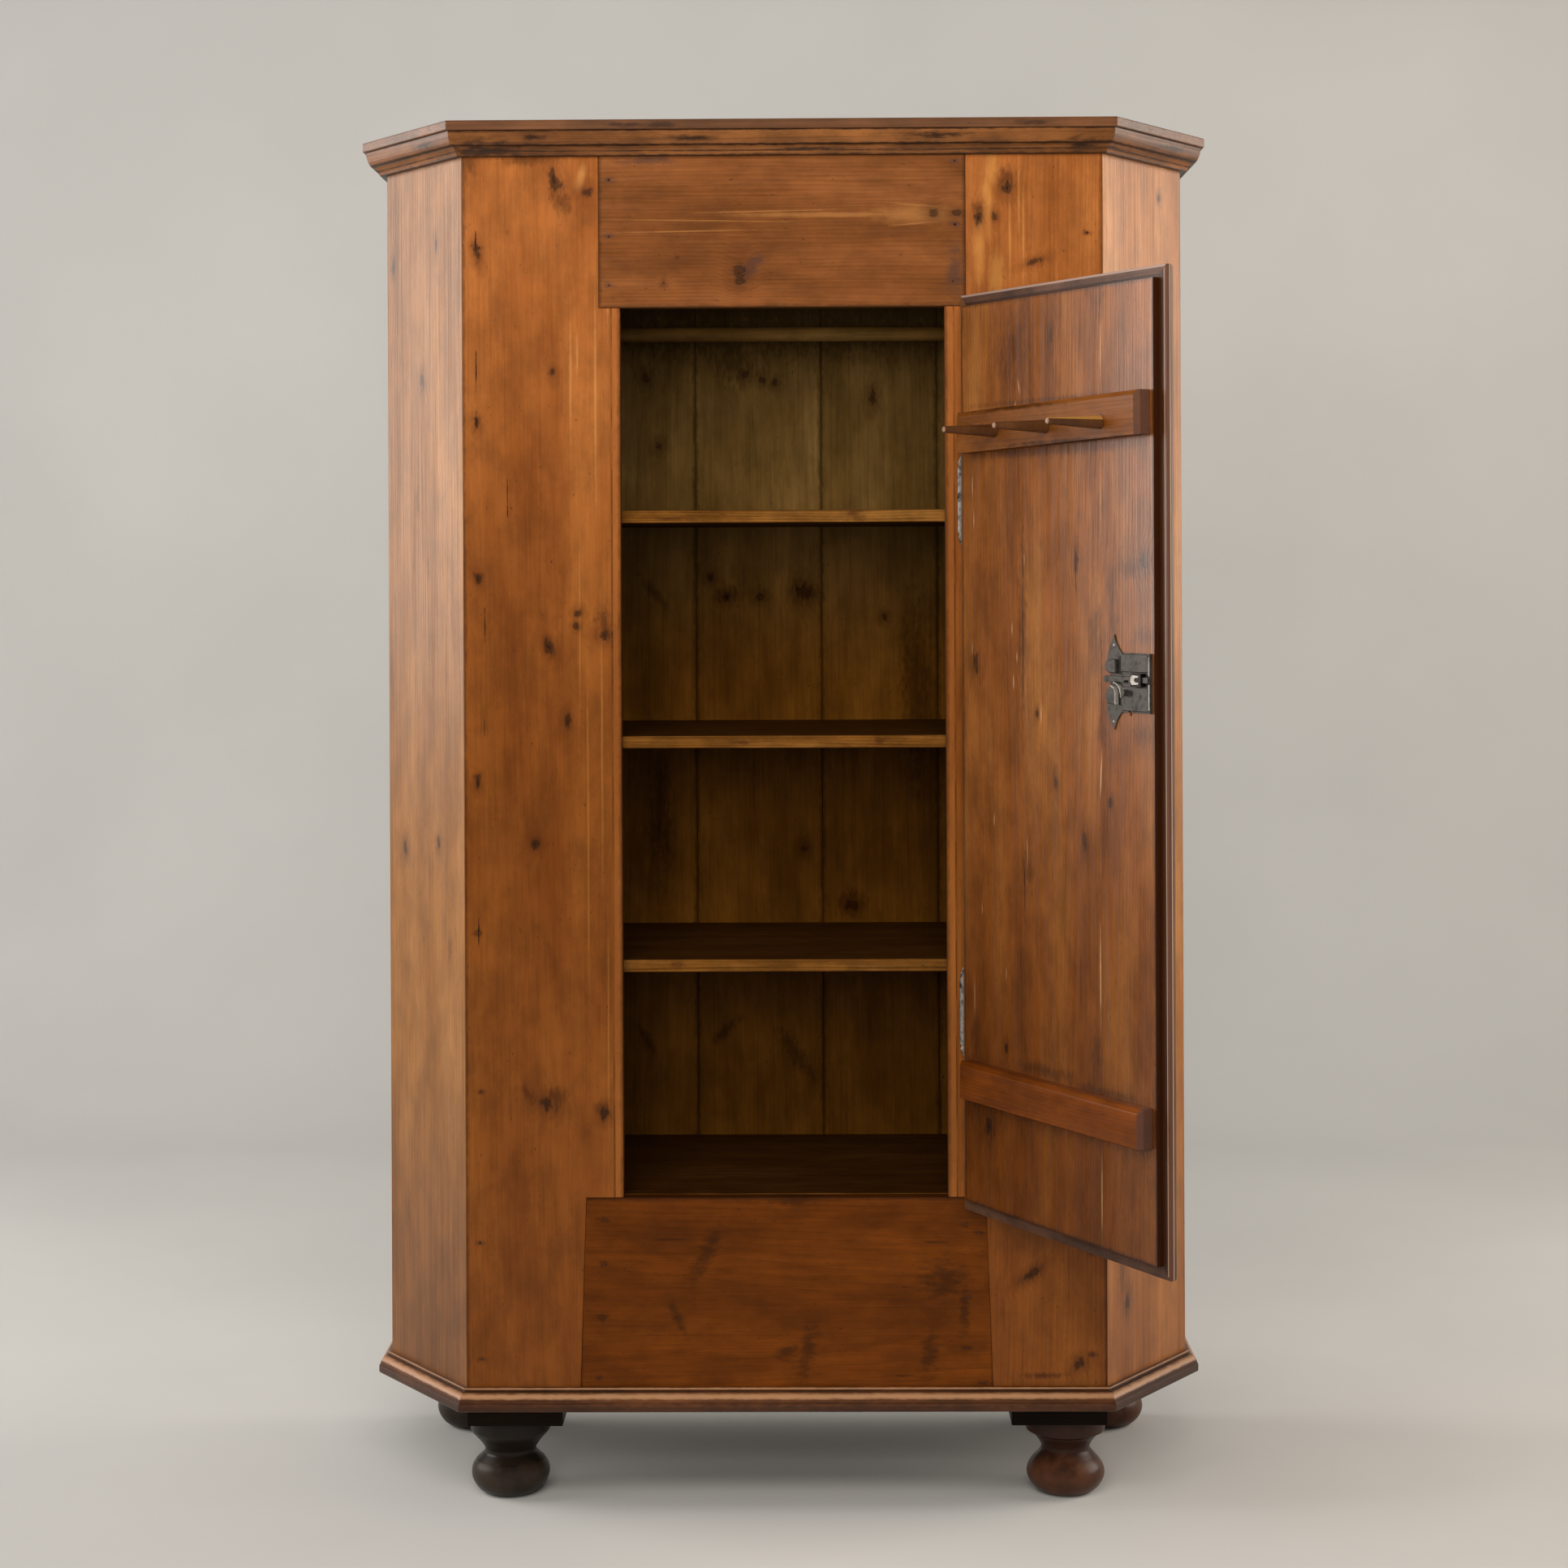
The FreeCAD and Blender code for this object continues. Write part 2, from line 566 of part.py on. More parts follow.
def hinge_halves(middle):
    seat = FreeCAD.Vector(HINGE_X, HINGE_Y, middle)
    lower = knuckle(0, 0)
    lower.rotate(FreeCAD.Vector(), X, 180)
    lower = lower.translated(seat - Z * (KNUCKLE_GAP / 2))
    pin = Part.makeCylinder(PIN_R, PIN_L + KNUCKLE_GAP, seat - Z * (KNUCKLE_GAP / 2))
    frame_half = joined(lower, stile_leaf(middle, 0), pin)
    bore = PIN_R + PIN_FIT
    depth = PIN_L + 1
    upper = knuckle(bore, depth).translated(seat + Z * (KNUCKLE_GAP / 2))
    leaf = board_leaf(middle, 0).cut(Part.makeCylinder(KNUCKLE_R - 1, 2 * KNUCKLE_L, seat))
    return frame_half, joined(upper, leaf)


# Door, modelled shut and then swung open about the hinge pins

def keyhole(near, far):
    x = FREE_EDGE + KEY_REACH
    z = BOLT_Z - KEY_DROP - KEYHOLE_DROP
    half = KEYHOLE_SLOT_W / 2
    eye = Part.makeCylinder(KEYHOLE_R, far - near, FreeCAD.Vector(x, near, z), Y)
    slot = block((x - half, near, z - KEYHOLE_SLOT_L), (x + half, far, z))
    return eye.fuse(slot)


def door_boards():
    seam = FREE_EDGE + DOOR_SEAM_FROM_FREE
    wide = block((seam + SEAM / 2, BOARD_OUT, BOARD_BOTTOM), (BOARD_HALF, BOARD_IN, BOARD_TOP))
    narrow = block((FREE_EDGE, BOARD_OUT, BOARD_BOTTOM), (seam - SEAM / 2, BOARD_IN, BOARD_TOP))
    for middle in HINGE_HEIGHTS.values():
        wide = wide.cut(board_leaf(middle, LEAF_FIT))
    return {"door_board_wide": wide.Solids[0],
            "door_board_narrow": narrow.cut(keyhole(BOARD_OUT, BOARD_IN)).Solids[0]}


def lip_section():
    # rebated moulding planted round the boards: distance out from their edge, and forward of the frame
    out = DOOR_GAP + LIP_LAP
    edge = LIP_CLEAR + LIP_EDGE
    seat = DOOR_T - DOOR_INSET
    face = seat + LIP_RISE
    shoulder = out - LIP_ROUND
    turn = math.sqrt(0.5)
    nose = (shoulder + LIP_ROUND * turn, edge + (face - edge) * turn)
    hollow = (-(LIP_FLAT + LIP_ON_BOARD) / 2, seat + 0.32 * LIP_RISE)
    return (0, LIP_CLEAR), [(out, LIP_CLEAR), (out, edge), (nose, (shoulder, face)), (-LIP_FLAT, face),
                            (hollow, (-LIP_ON_BOARD, seat)), (0, seat), (0, LIP_CLEAR)]


def door_lips():
    spots = ((FREE_EDGE, BOARD_BOTTOM), (BOARD_HALF, BOARD_BOTTOM),
             (BOARD_HALF, BOARD_TOP), (FREE_EDGE, BOARD_TOP))
    corners = [FreeCAD.Vector(x, FRONT, z) for x, z in spots]
    normals = [-Z, X, Z, -X]
    lips = {}
    for i, label in enumerate(("bottom", "hinge", "top", "free")):
        before = mitre(normals[i - 1], normals[i])
        after = mitre(normals[i], normals[(i + 1) % 4])
        lips["door_lip_" + label] = moulding_run(
            lip_section(), corners[i], corners[(i + 1) % 4], normals[i], -Y, before, after)
    for middle in HINGE_HEIGHTS.values():
        lips["door_lip_hinge"] = lips["door_lip_hinge"].cut(board_leaf(middle, LEAF_FIT)).Solids[0]
    return lips


def batten(height, middle, tilt):
    low = (FREE_EDGE + BATTEN_END_FREE, BOARD_IN, middle - height / 2)
    high = (BOARD_HALF - BATTEN_END_HINGE, BOARD_IN + BATTEN_T, middle + height / 2)
    bar = block(low, high)
    far = BOARD_IN + BATTEN_T
    worn = [e for e in bar.Edges if abs(e.BoundBox.YMin - far) < 0.01 and abs(e.BoundBox.YMax - far) < 0.01]
    top_and_ends = [e for e in worn if e.BoundBox.ZMax > middle + height / 2 - 0.01]
    bar = bar.makeChamfer(BATTEN_CHAMFER, top_and_ends)
    bar.rotate(FreeCAD.Vector((low[0] + high[0]) / 2, BOARD_IN, middle), Y, tilt)
    return bar


def coat_pegs():
    face = BOARD_IN + BATTEN_T
    height = OPENING_TOP - PEG_DROP
    pegs = []
    holes = []
    for i in range(PEG_COUNT):
        spot = FreeCAD.Vector(BOARD_HALF - PEG_FIRST - i * PEG_PITCH, face, height)
        steps = [(PEG_R, 0), (PEG_TIP_R, PEG_L - PEG_BEVEL), (PEG_TIP_R - PEG_BEVEL, PEG_L)]
        peg = joined(faceted(steps, PEG_SIDES),Part.makeCylinder(PEG_TENON_R, PEG_TENON_L, -Z * PEG_TENON_L))
        peg.rotate(FreeCAD.Vector(), X, -90)
        pegs.append(peg.translated(spot))
        hole = Part.makeCylinder(PEG_TENON_R + PEG_FIT, PEG_TENON_L + 1, spot - Y * (PEG_TENON_L + 1), Y)
        holes.append(hole)
    return Part.makeCompound(pegs), holes


def battens_and_pegs():
    pegs, holes = coat_pegs()
    upper = batten(UPPER_BATTEN_H, OPENING_TOP - UPPER_BATTEN_DROP, UPPER_BATTEN_TILT)
    lower = batten(LOWER_BATTEN_H, OPENING_BOTTOM + LOWER_BATTEN_RISE, 0)
    return {"batten_upper": upper.cut(holes).Solids[0], "batten_lower": lower, "coat_pegs": pegs}


# Lock

def lock_plate():
    top = BOLT_Z + LOCK_ABOVE
    low = BOLT_Z - LOCK_BELOW
    span = top - low
    body = LOCK_EDGE + LOCK_BODY_W

    def place(reach, z):
        return FreeCAD.Vector(FREE_EDGE + reach, BOARD_IN, z)

    half_ear = (body + EAR_REACH) / 2
    outline = outline_wire(place, (LOCK_EDGE, low), [
        (LOCK_EDGE, top), (body, top),
        ((half_ear, top + EAR_RISE / 3), (EAR_REACH, top + EAR_RISE)),
        ((LOBE_REACH - 4, top), (LOBE_REACH, top - 0.2 * span)),
        ((WAIST_REACH, top - 0.45 * span), (LOBE_REACH, top - 0.72 * span)),
        ((LOBE_REACH - 3, low - 2), (EAR_REACH, low - EAR_RISE)),
        ((half_ear, low - EAR_RISE / 3), (body, low)), (LOCK_EDGE, low)])
    plate = Part.Face(outline).extrude(Y * LOCK_PLATE_T)
    flange = block((FREE_EDGE + LOCK_EDGE, BOARD_IN, low),
                   (FREE_EDGE + LOCK_EDGE + SELVEDGE_T, PLATE_FACE + SELVEDGE_H, top))
    plate = plate.cut(keyhole(BOARD_IN, PLATE_FACE))
    return joined(plate, flange).cut(bolt_path(BOLT_CLEAR)).Solids[0]


def bolt_path(clear):
    # the space that the bolt slides in, grown by its clearance
    half = BOLT_H / 2 + clear
    near = PLATE_FACE + BOLT_CLEAR - clear
    return block((FREE_EDGE + LOCK_EDGE, near, BOLT_Z - half),
                 (FREE_EDGE + LOCK_EDGE + BOLT_L, near + BOLT_T + 2 * clear, BOLT_Z + half))


def lock_bolt():
    x = FREE_EDGE + KEY_REACH
    notch = block((x - BOLT_NOTCH_W / 2, PLATE_FACE, BOLT_Z - BOLT_H / 2),
                  (x + BOLT_NOTCH_W / 2, PLATE_FACE + 2 * BOLT_T, BOLT_Z - BOLT_H / 2 + BOLT_NOTCH_D))
    return bolt_path(0).cut(notch).Solids[0]


def bolt_staple():
    # strap over the bolt with a foot on the plate at each side
    start = FREE_EDGE + STAPLE_FROM_EDGE
    half = BOLT_H / 2 + BOLT_CLEAR + STAPLE_FOOT
    far = PLATE_FACE + BOLT_CLEAR * 2 + BOLT_T + STAPLE_T
    strap = block((start, PLATE_FACE, BOLT_Z - half), (start + STAPLE_W, far, BOLT_Z + half))
    return strap.cut(bolt_path(BOLT_CLEAR)).Solids[0]


def lock_spring():
    # bowed leaf on the plate that bears up under the bolt's tail
    x = FREE_EDGE + SPRING_REACH
    top = BOLT_Z - BOLT_H / 2 - BOLT_CLEAR
    centre_z = top - SPRING_R

    def place(radius, angle):
        turn = math.radians(angle)
        return FreeCAD.Vector(x + radius * math.sin(turn), PLATE_FACE, centre_z + radius * math.cos(turn))

    inner = SPRING_R - SPRING_T
    low, high = -SPRING_SWEEP, 0.0
    leaf = outline_wire(place, (SPRING_R, low), [
        ((SPRING_R, (low + high) / 2), (SPRING_R, high)), (inner, high),
        ((inner, (low + high) / 2), (inner, low)), (SPRING_R, low)])
    return Part.Face(leaf).extrude(Y * BOLT_T)


def key_post():
    foot = FreeCAD.Vector(FREE_EDGE + KEY_REACH, PLATE_FACE, BOLT_Z - KEY_DROP)
    collar = Part.makeCylinder(POST_COLLAR_R, POST_COLLAR_H, foot, Y)
    return joined(collar, Part.makeCylinder(POST_R, POST_H, foot, Y))


def key_escutcheon():
    # plain oval plate round the keyhole on the door's outer face
    x = FREE_EDGE + KEY_REACH
    middle = BOLT_Z - KEY_DROP - KEYHOLE_DROP - KEYHOLE_SLOT_L / 3
    half = ESCUTCHEON_L / 2
    far = BOARD_OUT - ESCUTCHEON_T

    def place(dx, dz):
        return FreeCAD.Vector(x + dx, far, middle + dz)

    oval = outline_wire(place, (-ESCUTCHEON_R, -half), [
        (-ESCUTCHEON_R, half), ((0, half + ESCUTCHEON_R), (ESCUTCHEON_R, half)),
        (ESCUTCHEON_R, -half), ((0, -half - ESCUTCHEON_R), (-ESCUTCHEON_R, -half))])
    return Part.Face(oval).extrude(Y * ESCUTCHEON_T).cut(keyhole(far, BOARD_OUT)).Solids[0]


def door_parts():
    parts = {}
    parts.update(door_boards())
    parts.update(door_lips())
    parts.update(battens_and_pegs())
    parts["lock_plate"] = lock_plate()
    parts["lock_bolt"] = lock_bolt()
    parts["bolt_staple"] = bolt_staple()
    parts["lock_spring"] = lock_spring()
    parts["key_post"] = key_post()
    parts["key_escutcheon"] = key_escutcheon()
    return parts


def whole_cupboard():
    parts = {}
    parts.update(stiles())
    parts.update(rails())
    parts.update(side_walls())
    parts.update(back_boards())
    parts.update(inside_boards())
    parts["shelf_cleats"] = shelf_cleats()
    parts.update(hanging_rail())
    parts["top_board"] = top_board()
    cornice_foot = BODY_TOP - CORNICE_UPPER_H - CORNICE_LOWER_H
    parts.update(moulding_round_body("cornice", cornice_section(), cornice_foot))
    parts.update(moulding_round_body("base_moulding", base_section(), BODY_BOTTOM))
    parts.update(feet())
    swung = door_parts()
    for label, middle in HINGE_HEIGHTS.items():
        parts["hinge_frame_" + label], swung["hinge_door_" + label] = hinge_halves(middle)
    for name, shape in swung.items():
        shape.rotate(FreeCAD.Vector(HINGE_X, HINGE_Y, 0), Z, DOOR_OPEN)
        parts[name] = shape
    return parts


os.makedirs("parts", exist_ok=True)
for node, solid in whole_cupboard().items():
    solid.exportStep("parts/%s.step" % node)
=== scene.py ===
import bpy
import bmesh
import json
import math
from mathutils import Matrix, Vector


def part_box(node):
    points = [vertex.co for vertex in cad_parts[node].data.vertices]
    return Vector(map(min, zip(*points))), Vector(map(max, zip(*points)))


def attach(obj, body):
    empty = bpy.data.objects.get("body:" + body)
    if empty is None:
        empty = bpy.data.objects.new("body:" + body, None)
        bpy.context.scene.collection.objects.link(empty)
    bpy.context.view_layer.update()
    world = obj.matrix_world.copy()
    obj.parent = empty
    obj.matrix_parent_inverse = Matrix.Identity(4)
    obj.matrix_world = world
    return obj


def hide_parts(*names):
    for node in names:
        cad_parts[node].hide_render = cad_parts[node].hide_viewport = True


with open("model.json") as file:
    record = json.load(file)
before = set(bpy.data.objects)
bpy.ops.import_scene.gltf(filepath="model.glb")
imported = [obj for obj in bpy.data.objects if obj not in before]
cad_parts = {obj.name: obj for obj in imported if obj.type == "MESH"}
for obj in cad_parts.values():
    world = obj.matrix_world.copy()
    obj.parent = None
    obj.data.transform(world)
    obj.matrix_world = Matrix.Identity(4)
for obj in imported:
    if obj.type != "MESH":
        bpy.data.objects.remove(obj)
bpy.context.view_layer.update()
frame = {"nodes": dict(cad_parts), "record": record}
record = frame["record"]
scene = bpy.context.scene
scene.view_settings.view_transform = "Standard"
mm = 0.001

bodyOf = {node: body for body, nodes in record["behaviour"]["bodies"].items() for node in nodes}
doorHinge = next(joint for joint in record["behaviour"]["joints"] if joint["name"] == "door_hinge")
doorOpen = -doorHinge["range_deg"][0]  # the door stands this far open, in degrees
hingePlace = Vector(doorHinge["pos_m"]) / mm
doorTurn = Matrix.Rotation(math.radians(doorOpen), 4, "Z")
doorPivot = Matrix.Translation(hingePlace * mm)
shutToOpen = doorPivot @ doorTurn @ doorPivot.inverted()
doorFacing = doorTurn.to_3x3() @ Vector((0.0, 1.0, 0.0))  # the way the open door's inner face looks
boardFace = -0.217  # inner face of the shut door's boards, in metres
noLimit = 5000.0  # half size of a box that has no end in one direction, in millimetres
endless = 1e5  # half size of a mark that runs right across, in millimetres


def onDoorFace(x, z, height):
    # where the open door has a point that is given on the shut door, by its height above the inner face
    return shutToOpen @ Vector((x * mm, boardFace + height * mm, z * mm))


def toLinear(hexColour, alpha=1.0):
    channels = [int(hexColour[i:i + 2], 16) / 255 for i in (1, 3, 5)]
    linear = [c / 12.92 if c <= 0.04045 else ((c + 0.055) / 1.055) ** 2.4 for c in channels]
    return (*linear, alpha)


def addNode(tree, kind, settings=None, inputs=None):
    node = tree.nodes.new(kind)
    for key, value in (settings or {}).items():
        if key == "ramp":
            stops = node.color_ramp.elements
            while len(stops) < len(value):
                stops.new(1.0)
            for stop, (place, colour) in zip(stops, value):
                stop.position = place
                stop.color = colour
        else:
            setattr(node, key, value)
    for key, value in (inputs or {}).items():
        if isinstance(value, bpy.types.NodeSocket):
            tree.links.new(value, node.inputs[key])
        else:
            node.inputs[key].default_value = value
    return node


def newObject(name, data):
    thing = bpy.data.objects.new(name, data)
    scene.collection.objects.link(thing)
    return thing


def newMaterial(name):
    material = bpy.data.materials.new(name)
    material.use_nodes = True
    return material, material.node_tree, material.node_tree.nodes["Principled BSDF"]


# camera where the photograph was taken from, level, with the frame shifted down
camera = {
    "place": (41.7, -4104.3, 1251.8),
    "yaw": 0.0105, "roll": -0.0045,
    "lens": 66.76, "sensor": 36, "shiftDown": 0.1363,
}
cameraData = bpy.data.cameras.new("photoCamera")
cameraData.sensor_width = camera["sensor"]
cameraData.lens = camera["lens"]
cameraData.shift_y = -camera["shiftDown"]
cameraObject = newObject("photoCamera", cameraData)
upright = Matrix.Rotation(math.pi / 2, 4, "X")
cameraObject.matrix_world = (Matrix.Translation(Vector(camera["place"]) * mm)
                             @ Matrix.Rotation(camera["yaw"], 4, "Z") @ upright
                             @ Matrix.Rotation(camera["roll"], 4, "Z"))
scene.camera = cameraObject
print("camera set")


# floor that sweeps up into a backdrop, in metres
stage = {
    "halfWidth": 6.0, "front": -6.0, "sweepFrom": 2.2, "sweepRadius": 1.2, "top": 4.5, "sweepSteps": 16,
    "floorColour": "#C9C9C6", "dullShare": 0.94, "cloudsPerMetre": 1.3, "roughness": 0.85,
}


def stageMaterial():
    # painted board, matt, a little uneven in tone
    material, tree, shader = newMaterial("mattPaintedBoard")
    place = addNode(tree, "ShaderNodeTexCoord")
    cloud = addNode(tree, "ShaderNodeTexNoise", {}, {
        "Vector": place.outputs["Object"], "Scale": stage["cloudsPerMetre"], "Detail": 4.0})
    tint = toLinear(stage["floorColour"])
    duller = tuple(c * stage["dullShare"] for c in tint[:3]) + (1.0,)
    tone = addNode(tree, "ShaderNodeValToRGB", {"ramp": [(0.35, duller), (0.65, tint)]}, {"Fac": cloud.outputs[0]})
    tree.links.new(tone.outputs[0], shader.inputs["Base Color"])
    shader.inputs["Roughness"].default_value = stage["roughness"]
    return material


def makeStage():
    r, back = stage["sweepRadius"], stage["sweepFrom"]
    outline = [(stage["front"], 0.0), (back, 0.0)]
    for step in range(1, stage["sweepSteps"] + 1):
        a = math.pi / 2 * step / stage["sweepSteps"]
        outline.append((back + r * math.sin(a), r - r * math.cos(a)))
    outline.append((back + r, stage["top"]))
    mesh = bpy.data.meshes.new("stageFloor")
    w = stage["halfWidth"]
    points = [(side * w, y, z) for y, z in outline for side in (-1, 1)]
    faces = [(2 * i, 2 * i + 1, 2 * i + 3, 2 * i + 2) for i in range(len(outline) - 1)]
    mesh.from_pydata(points, [], faces)
    mesh.polygons.foreach_set("use_smooth", [True] * len(faces))
    floor = newObject("stageFloor", mesh)
    mesh.materials.append(stageMaterial())


makeStage()

# soft light: two frames in front, kept out of the gloss, one above the top and one that reaches in at the doorway,
# and tall frames at both sides that give the cants and the door their sheen
lights = {
    "highFrame": {"place": (-0.25, -2.1, 2.25), "aim": (0.0, 0.0, 1.45), "size": (1.8, 0.9), "power": 31,
                  "colour": "#FFF8F0", "inGloss": False},
    "lowFrame": {"place": (-0.3, -3.6, 1.6), "aim": (0.0, 0.0, 1.1), "size": (1.8, 1.0), "power": 50,
                 "colour": "#FFF8F0", "inGloss": False},
    "leftFrame": {"place": (-3.6, 0.35, 2.2), "aim": (0.0, 0.35, 2.2), "size": (2.55, 2.6), "power": 122,
                  "colour": "#FFFAF5", "inGloss": True},
    "rightFrame": {"place": (3.6, 0.35, 2.2), "aim": (0.0, 0.35, 2.2), "size": (2.55, 2.6), "power": 116,
                   "colour": "#FFF3E6", "inGloss": True},
}
worldLight = {"colour": "#F4F4F4", "strength": 0.25}


def makeLights():
    for name, lamp in lights.items():
        data = bpy.data.lights.new(name, "AREA")
        data.shape = "RECTANGLE"
        data.size, data.size_y = lamp["size"]
        data.energy = lamp["power"]
        data.color = toLinear(lamp["colour"])[:3]
        lampObject = newObject(name, data)
        lampObject.location = lamp["place"]
        way = Vector(lamp["aim"]) - Vector(lamp["place"])
        lampObject.rotation_euler = way.to_track_quat("-Z", "Y").to_euler()
        lampObject.visible_camera = False
        lampObject.visible_glossy = lamp["inGloss"]
    world = bpy.data.worlds.new("paleRoom")
    world.use_nodes = True
    sky = world.node_tree.nodes["Background"]
    sky.inputs["Color"].default_value = toLinear(worldLight["colour"])
    sky.inputs["Strength"].default_value = worldLight["strength"]
    scene.world = world


makeLights()
print("stage and light set")

# what every board starts from: colours, sizes in millimetres, shares from 0 to 1
pineLook = {
    "grain": "upright", "turn": 0.0, "about": (0.0, 0.0, 0.0),
    "pale": "#BE7534", "mid": "#A66028", "dark": "#8A4B1A", "line": "#693410",
    "ring": 5.5, "ringShare": 0.16, "wander": 30.0, "heart": 20.0, "pith": 35.0, "taper": 0.03,
    "streakShare": 0.13, "fibreShare": 0.12, "cloudShare": 0.3, "speckShare": 0.5,
    "knots": [], "knotPull": 2.0, "knotHeart": "#3E2210", "knotRim": "#1D1008",
    "shakes": [], "stains": [], "stain": "#3A1E0C", "stainShare": 0.65,
    "flames": [], "flame": "#DDA25E", "flameShare": 0.5, "bands": [],
    "lipMark": False, "edgeTint": None, "grime": None, "patina": None,
    "roughness": 0.4, "bump": 0.25, "bumpDepth": 0.4, "specular": 0.5,
}
# noises in the wood: size across and along the grain in millimetres, detail, roughness
pineNoise = {
    "ragged": (6, 14, 3.0, 0.6), "wander": (60, 520, 3.0), "tone": (64, 380, 4.0, 0.55),
    "streak": (3.4, 260, 4.0, 0.6),
    "fibre": (2.2, 90, 2.0),  # real fibres are finer, drawn so that they show
    "cloud": (34, 62, 8.0, 0.66), "speck": (4, 9, 1.0),
    "plane": (24, 600, 2.0),  # shallow waves that the plane left
}
boardShift = (0.31, 0.17, 2.3)  # how far apart two boards may lie in the tree, in metres
ringTones = ((0.0, 0.0), (0.55, 0.12), (0.84, 0.85), (0.93, 1.0), (1.0, 0.0))  # pale early wood to a dark late line
doorway = {"middle": (0.0, 0.0, 1009.0), "half": (216.5, noLimit, 594.0), "lipLap": 11.5}
cant = {"corner": 427.5, "face": -225.0, "across": 126.5, "back": 183.0}  # where the cants leave the front
cantTurn = math.degrees(math.atan2(cant["back"], cant["across"]))


def boardSpace(tree, look):
    # turns the object's coordinates so that the grain runs along Z, and gives each board its own piece of the tree
    turn = Matrix.Rotation(math.radians(look["turn"]), 3, "Z")
    about = Vector(look["about"]) * mm
    lay = Matrix.Rotation(math.pi / 2, 3, "Y") if look["grain"] == "level" else Matrix.Identity(3)
    place = addNode(tree, "ShaderNodeTexCoord")
    local = addNode(tree, "ShaderNodeMapping", {}, {
        "Vector": place.outputs["Object"], "Location": lay @ (about - turn @ about),
        "Rotation": (lay @ turn).to_euler()})
    board = addNode(tree, "ShaderNodeAttribute", {"attribute_name": "board"})
    shift = addNode(tree, "ShaderNodeVectorMath", {"operation": "SCALE"}, {
        0: boardShift, "Scale": board.outputs["Fac"]})
    own = addNode(tree, "ShaderNodeVectorMath", {"operation": "ADD"}, {0: local.outputs[0], 1: shift.outputs[0]})
    return lay, local.outputs[0], own.outputs[0]


def grainNoise(tree, vector, across, along, detail=2.0, roughness=0.5):
    # noise drawn out along the grain, its two sizes in millimetres
    scale = (1 / (across * mm), 1 / (across * mm), 1 / (along * mm))
    stretched = addNode(tree, "ShaderNodeMapping", {}, {"Vector": vector, "Scale": scale})
    noise = addNode(tree, "ShaderNodeTexNoise", {}, {
        "Vector": stretched.outputs[0], "Scale": 1.0, "Detail": detail, "Roughness": roughness})
    return noise.outputs[0]


def sumOf(tree, first, second, share=1.0):
    return addNode(tree, "ShaderNodeMath", {"operation": "MULTIPLY_ADD"}, {0: second, 1: share, 2: first}).outputs[0]


def fade(tree, value, low, high, fromTo=(0.0, 1.0)):
    # a soft step of a value between two levels
    step = addNode(tree, "ShaderNodeMapRange", {"interpolation_type": "SMOOTHSTEP"},
                   {0: value, 1: low, 2: high, 3: fromTo[0], 4: fromTo[1]})
    return step.outputs[0]


def blendColour(tree, factor, under, over, way="MIX"):
    mixed = addNode(tree, "ShaderNodeMix", {"data_type": "RGBA", "blend_type": way}, {0: factor, 6: under, 7: over})
    return mixed.outputs[2]


def nearestSpot(tree, vector, lay, spots):
    # distance to the nearest of some oval marks, 1 at a mark's edge
    # a mark is x, z, half width and half height in millimetres, and a lean in degrees where it leans
    nearest = None
    for x, z, halfWidth, halfHeight, *lean in spots:
        centre = lay @ Vector((x, 0.0, z)) * mm
        reach = lay @ Vector((halfWidth, 0.0, halfHeight)) * mm
        inverse = [1 / abs(r) if abs(r) > 1e-9 else 0.0 for r in reach]
        away = addNode(tree, "ShaderNodeVectorMath", {"operation": "SUBTRACT"}, {0: vector, 1: centre})
        if lean:
            away = addNode(tree, "ShaderNodeVectorRotate", {"rotation_type": "Y_AXIS"}, {
                "Vector": away.outputs[0], "Angle": math.radians(-lean[0])})
        scaled = addNode(tree, "ShaderNodeVectorMath", {"operation": "MULTIPLY"}, {0: away.outputs[0], 1: inverse})
        length = addNode(tree, "ShaderNodeVectorMath", {"operation": "LENGTH"}, {0: scaled.outputs[0]}).outputs["Value"]
        if nearest is None:
            nearest = length
        else:
            nearest = addNode(tree, "ShaderNodeMath", {"operation": "MINIMUM"}, {0: nearest, 1: length}).outputs[0]
    return nearest


def beyondBox(tree, vector, lay, middle, half):
    # how far a point is outside a box, negative inside it
    centre = lay @ Vector(middle) * mm
    away = addNode(tree, "ShaderNodeVectorMath", {"operation": "SUBTRACT"}, {0: vector, 1: centre})
    size = addNode(tree, "ShaderNodeVectorMath", {"operation": "ABSOLUTE"}, {0: away.outputs[0]})
    reach = [abs(r) * mm for r in lay @ Vector(half)]
    out = addNode(tree, "ShaderNodeVectorMath", {"operation": "SUBTRACT"}, {0: size.outputs[0], 1: reach})
    x, y, z = addNode(tree, "ShaderNodeSeparateXYZ", {}, {0: out.outputs[0]}).outputs
    most = addNode(tree, "ShaderNodeMath", {"operation": "MAXIMUM"}, {0: x, 1: y}).outputs[0]
    return addNode(tree, "ShaderNodeMath", {"operation": "MAXIMUM"}, {0: most, 1: z}).outputs[0]


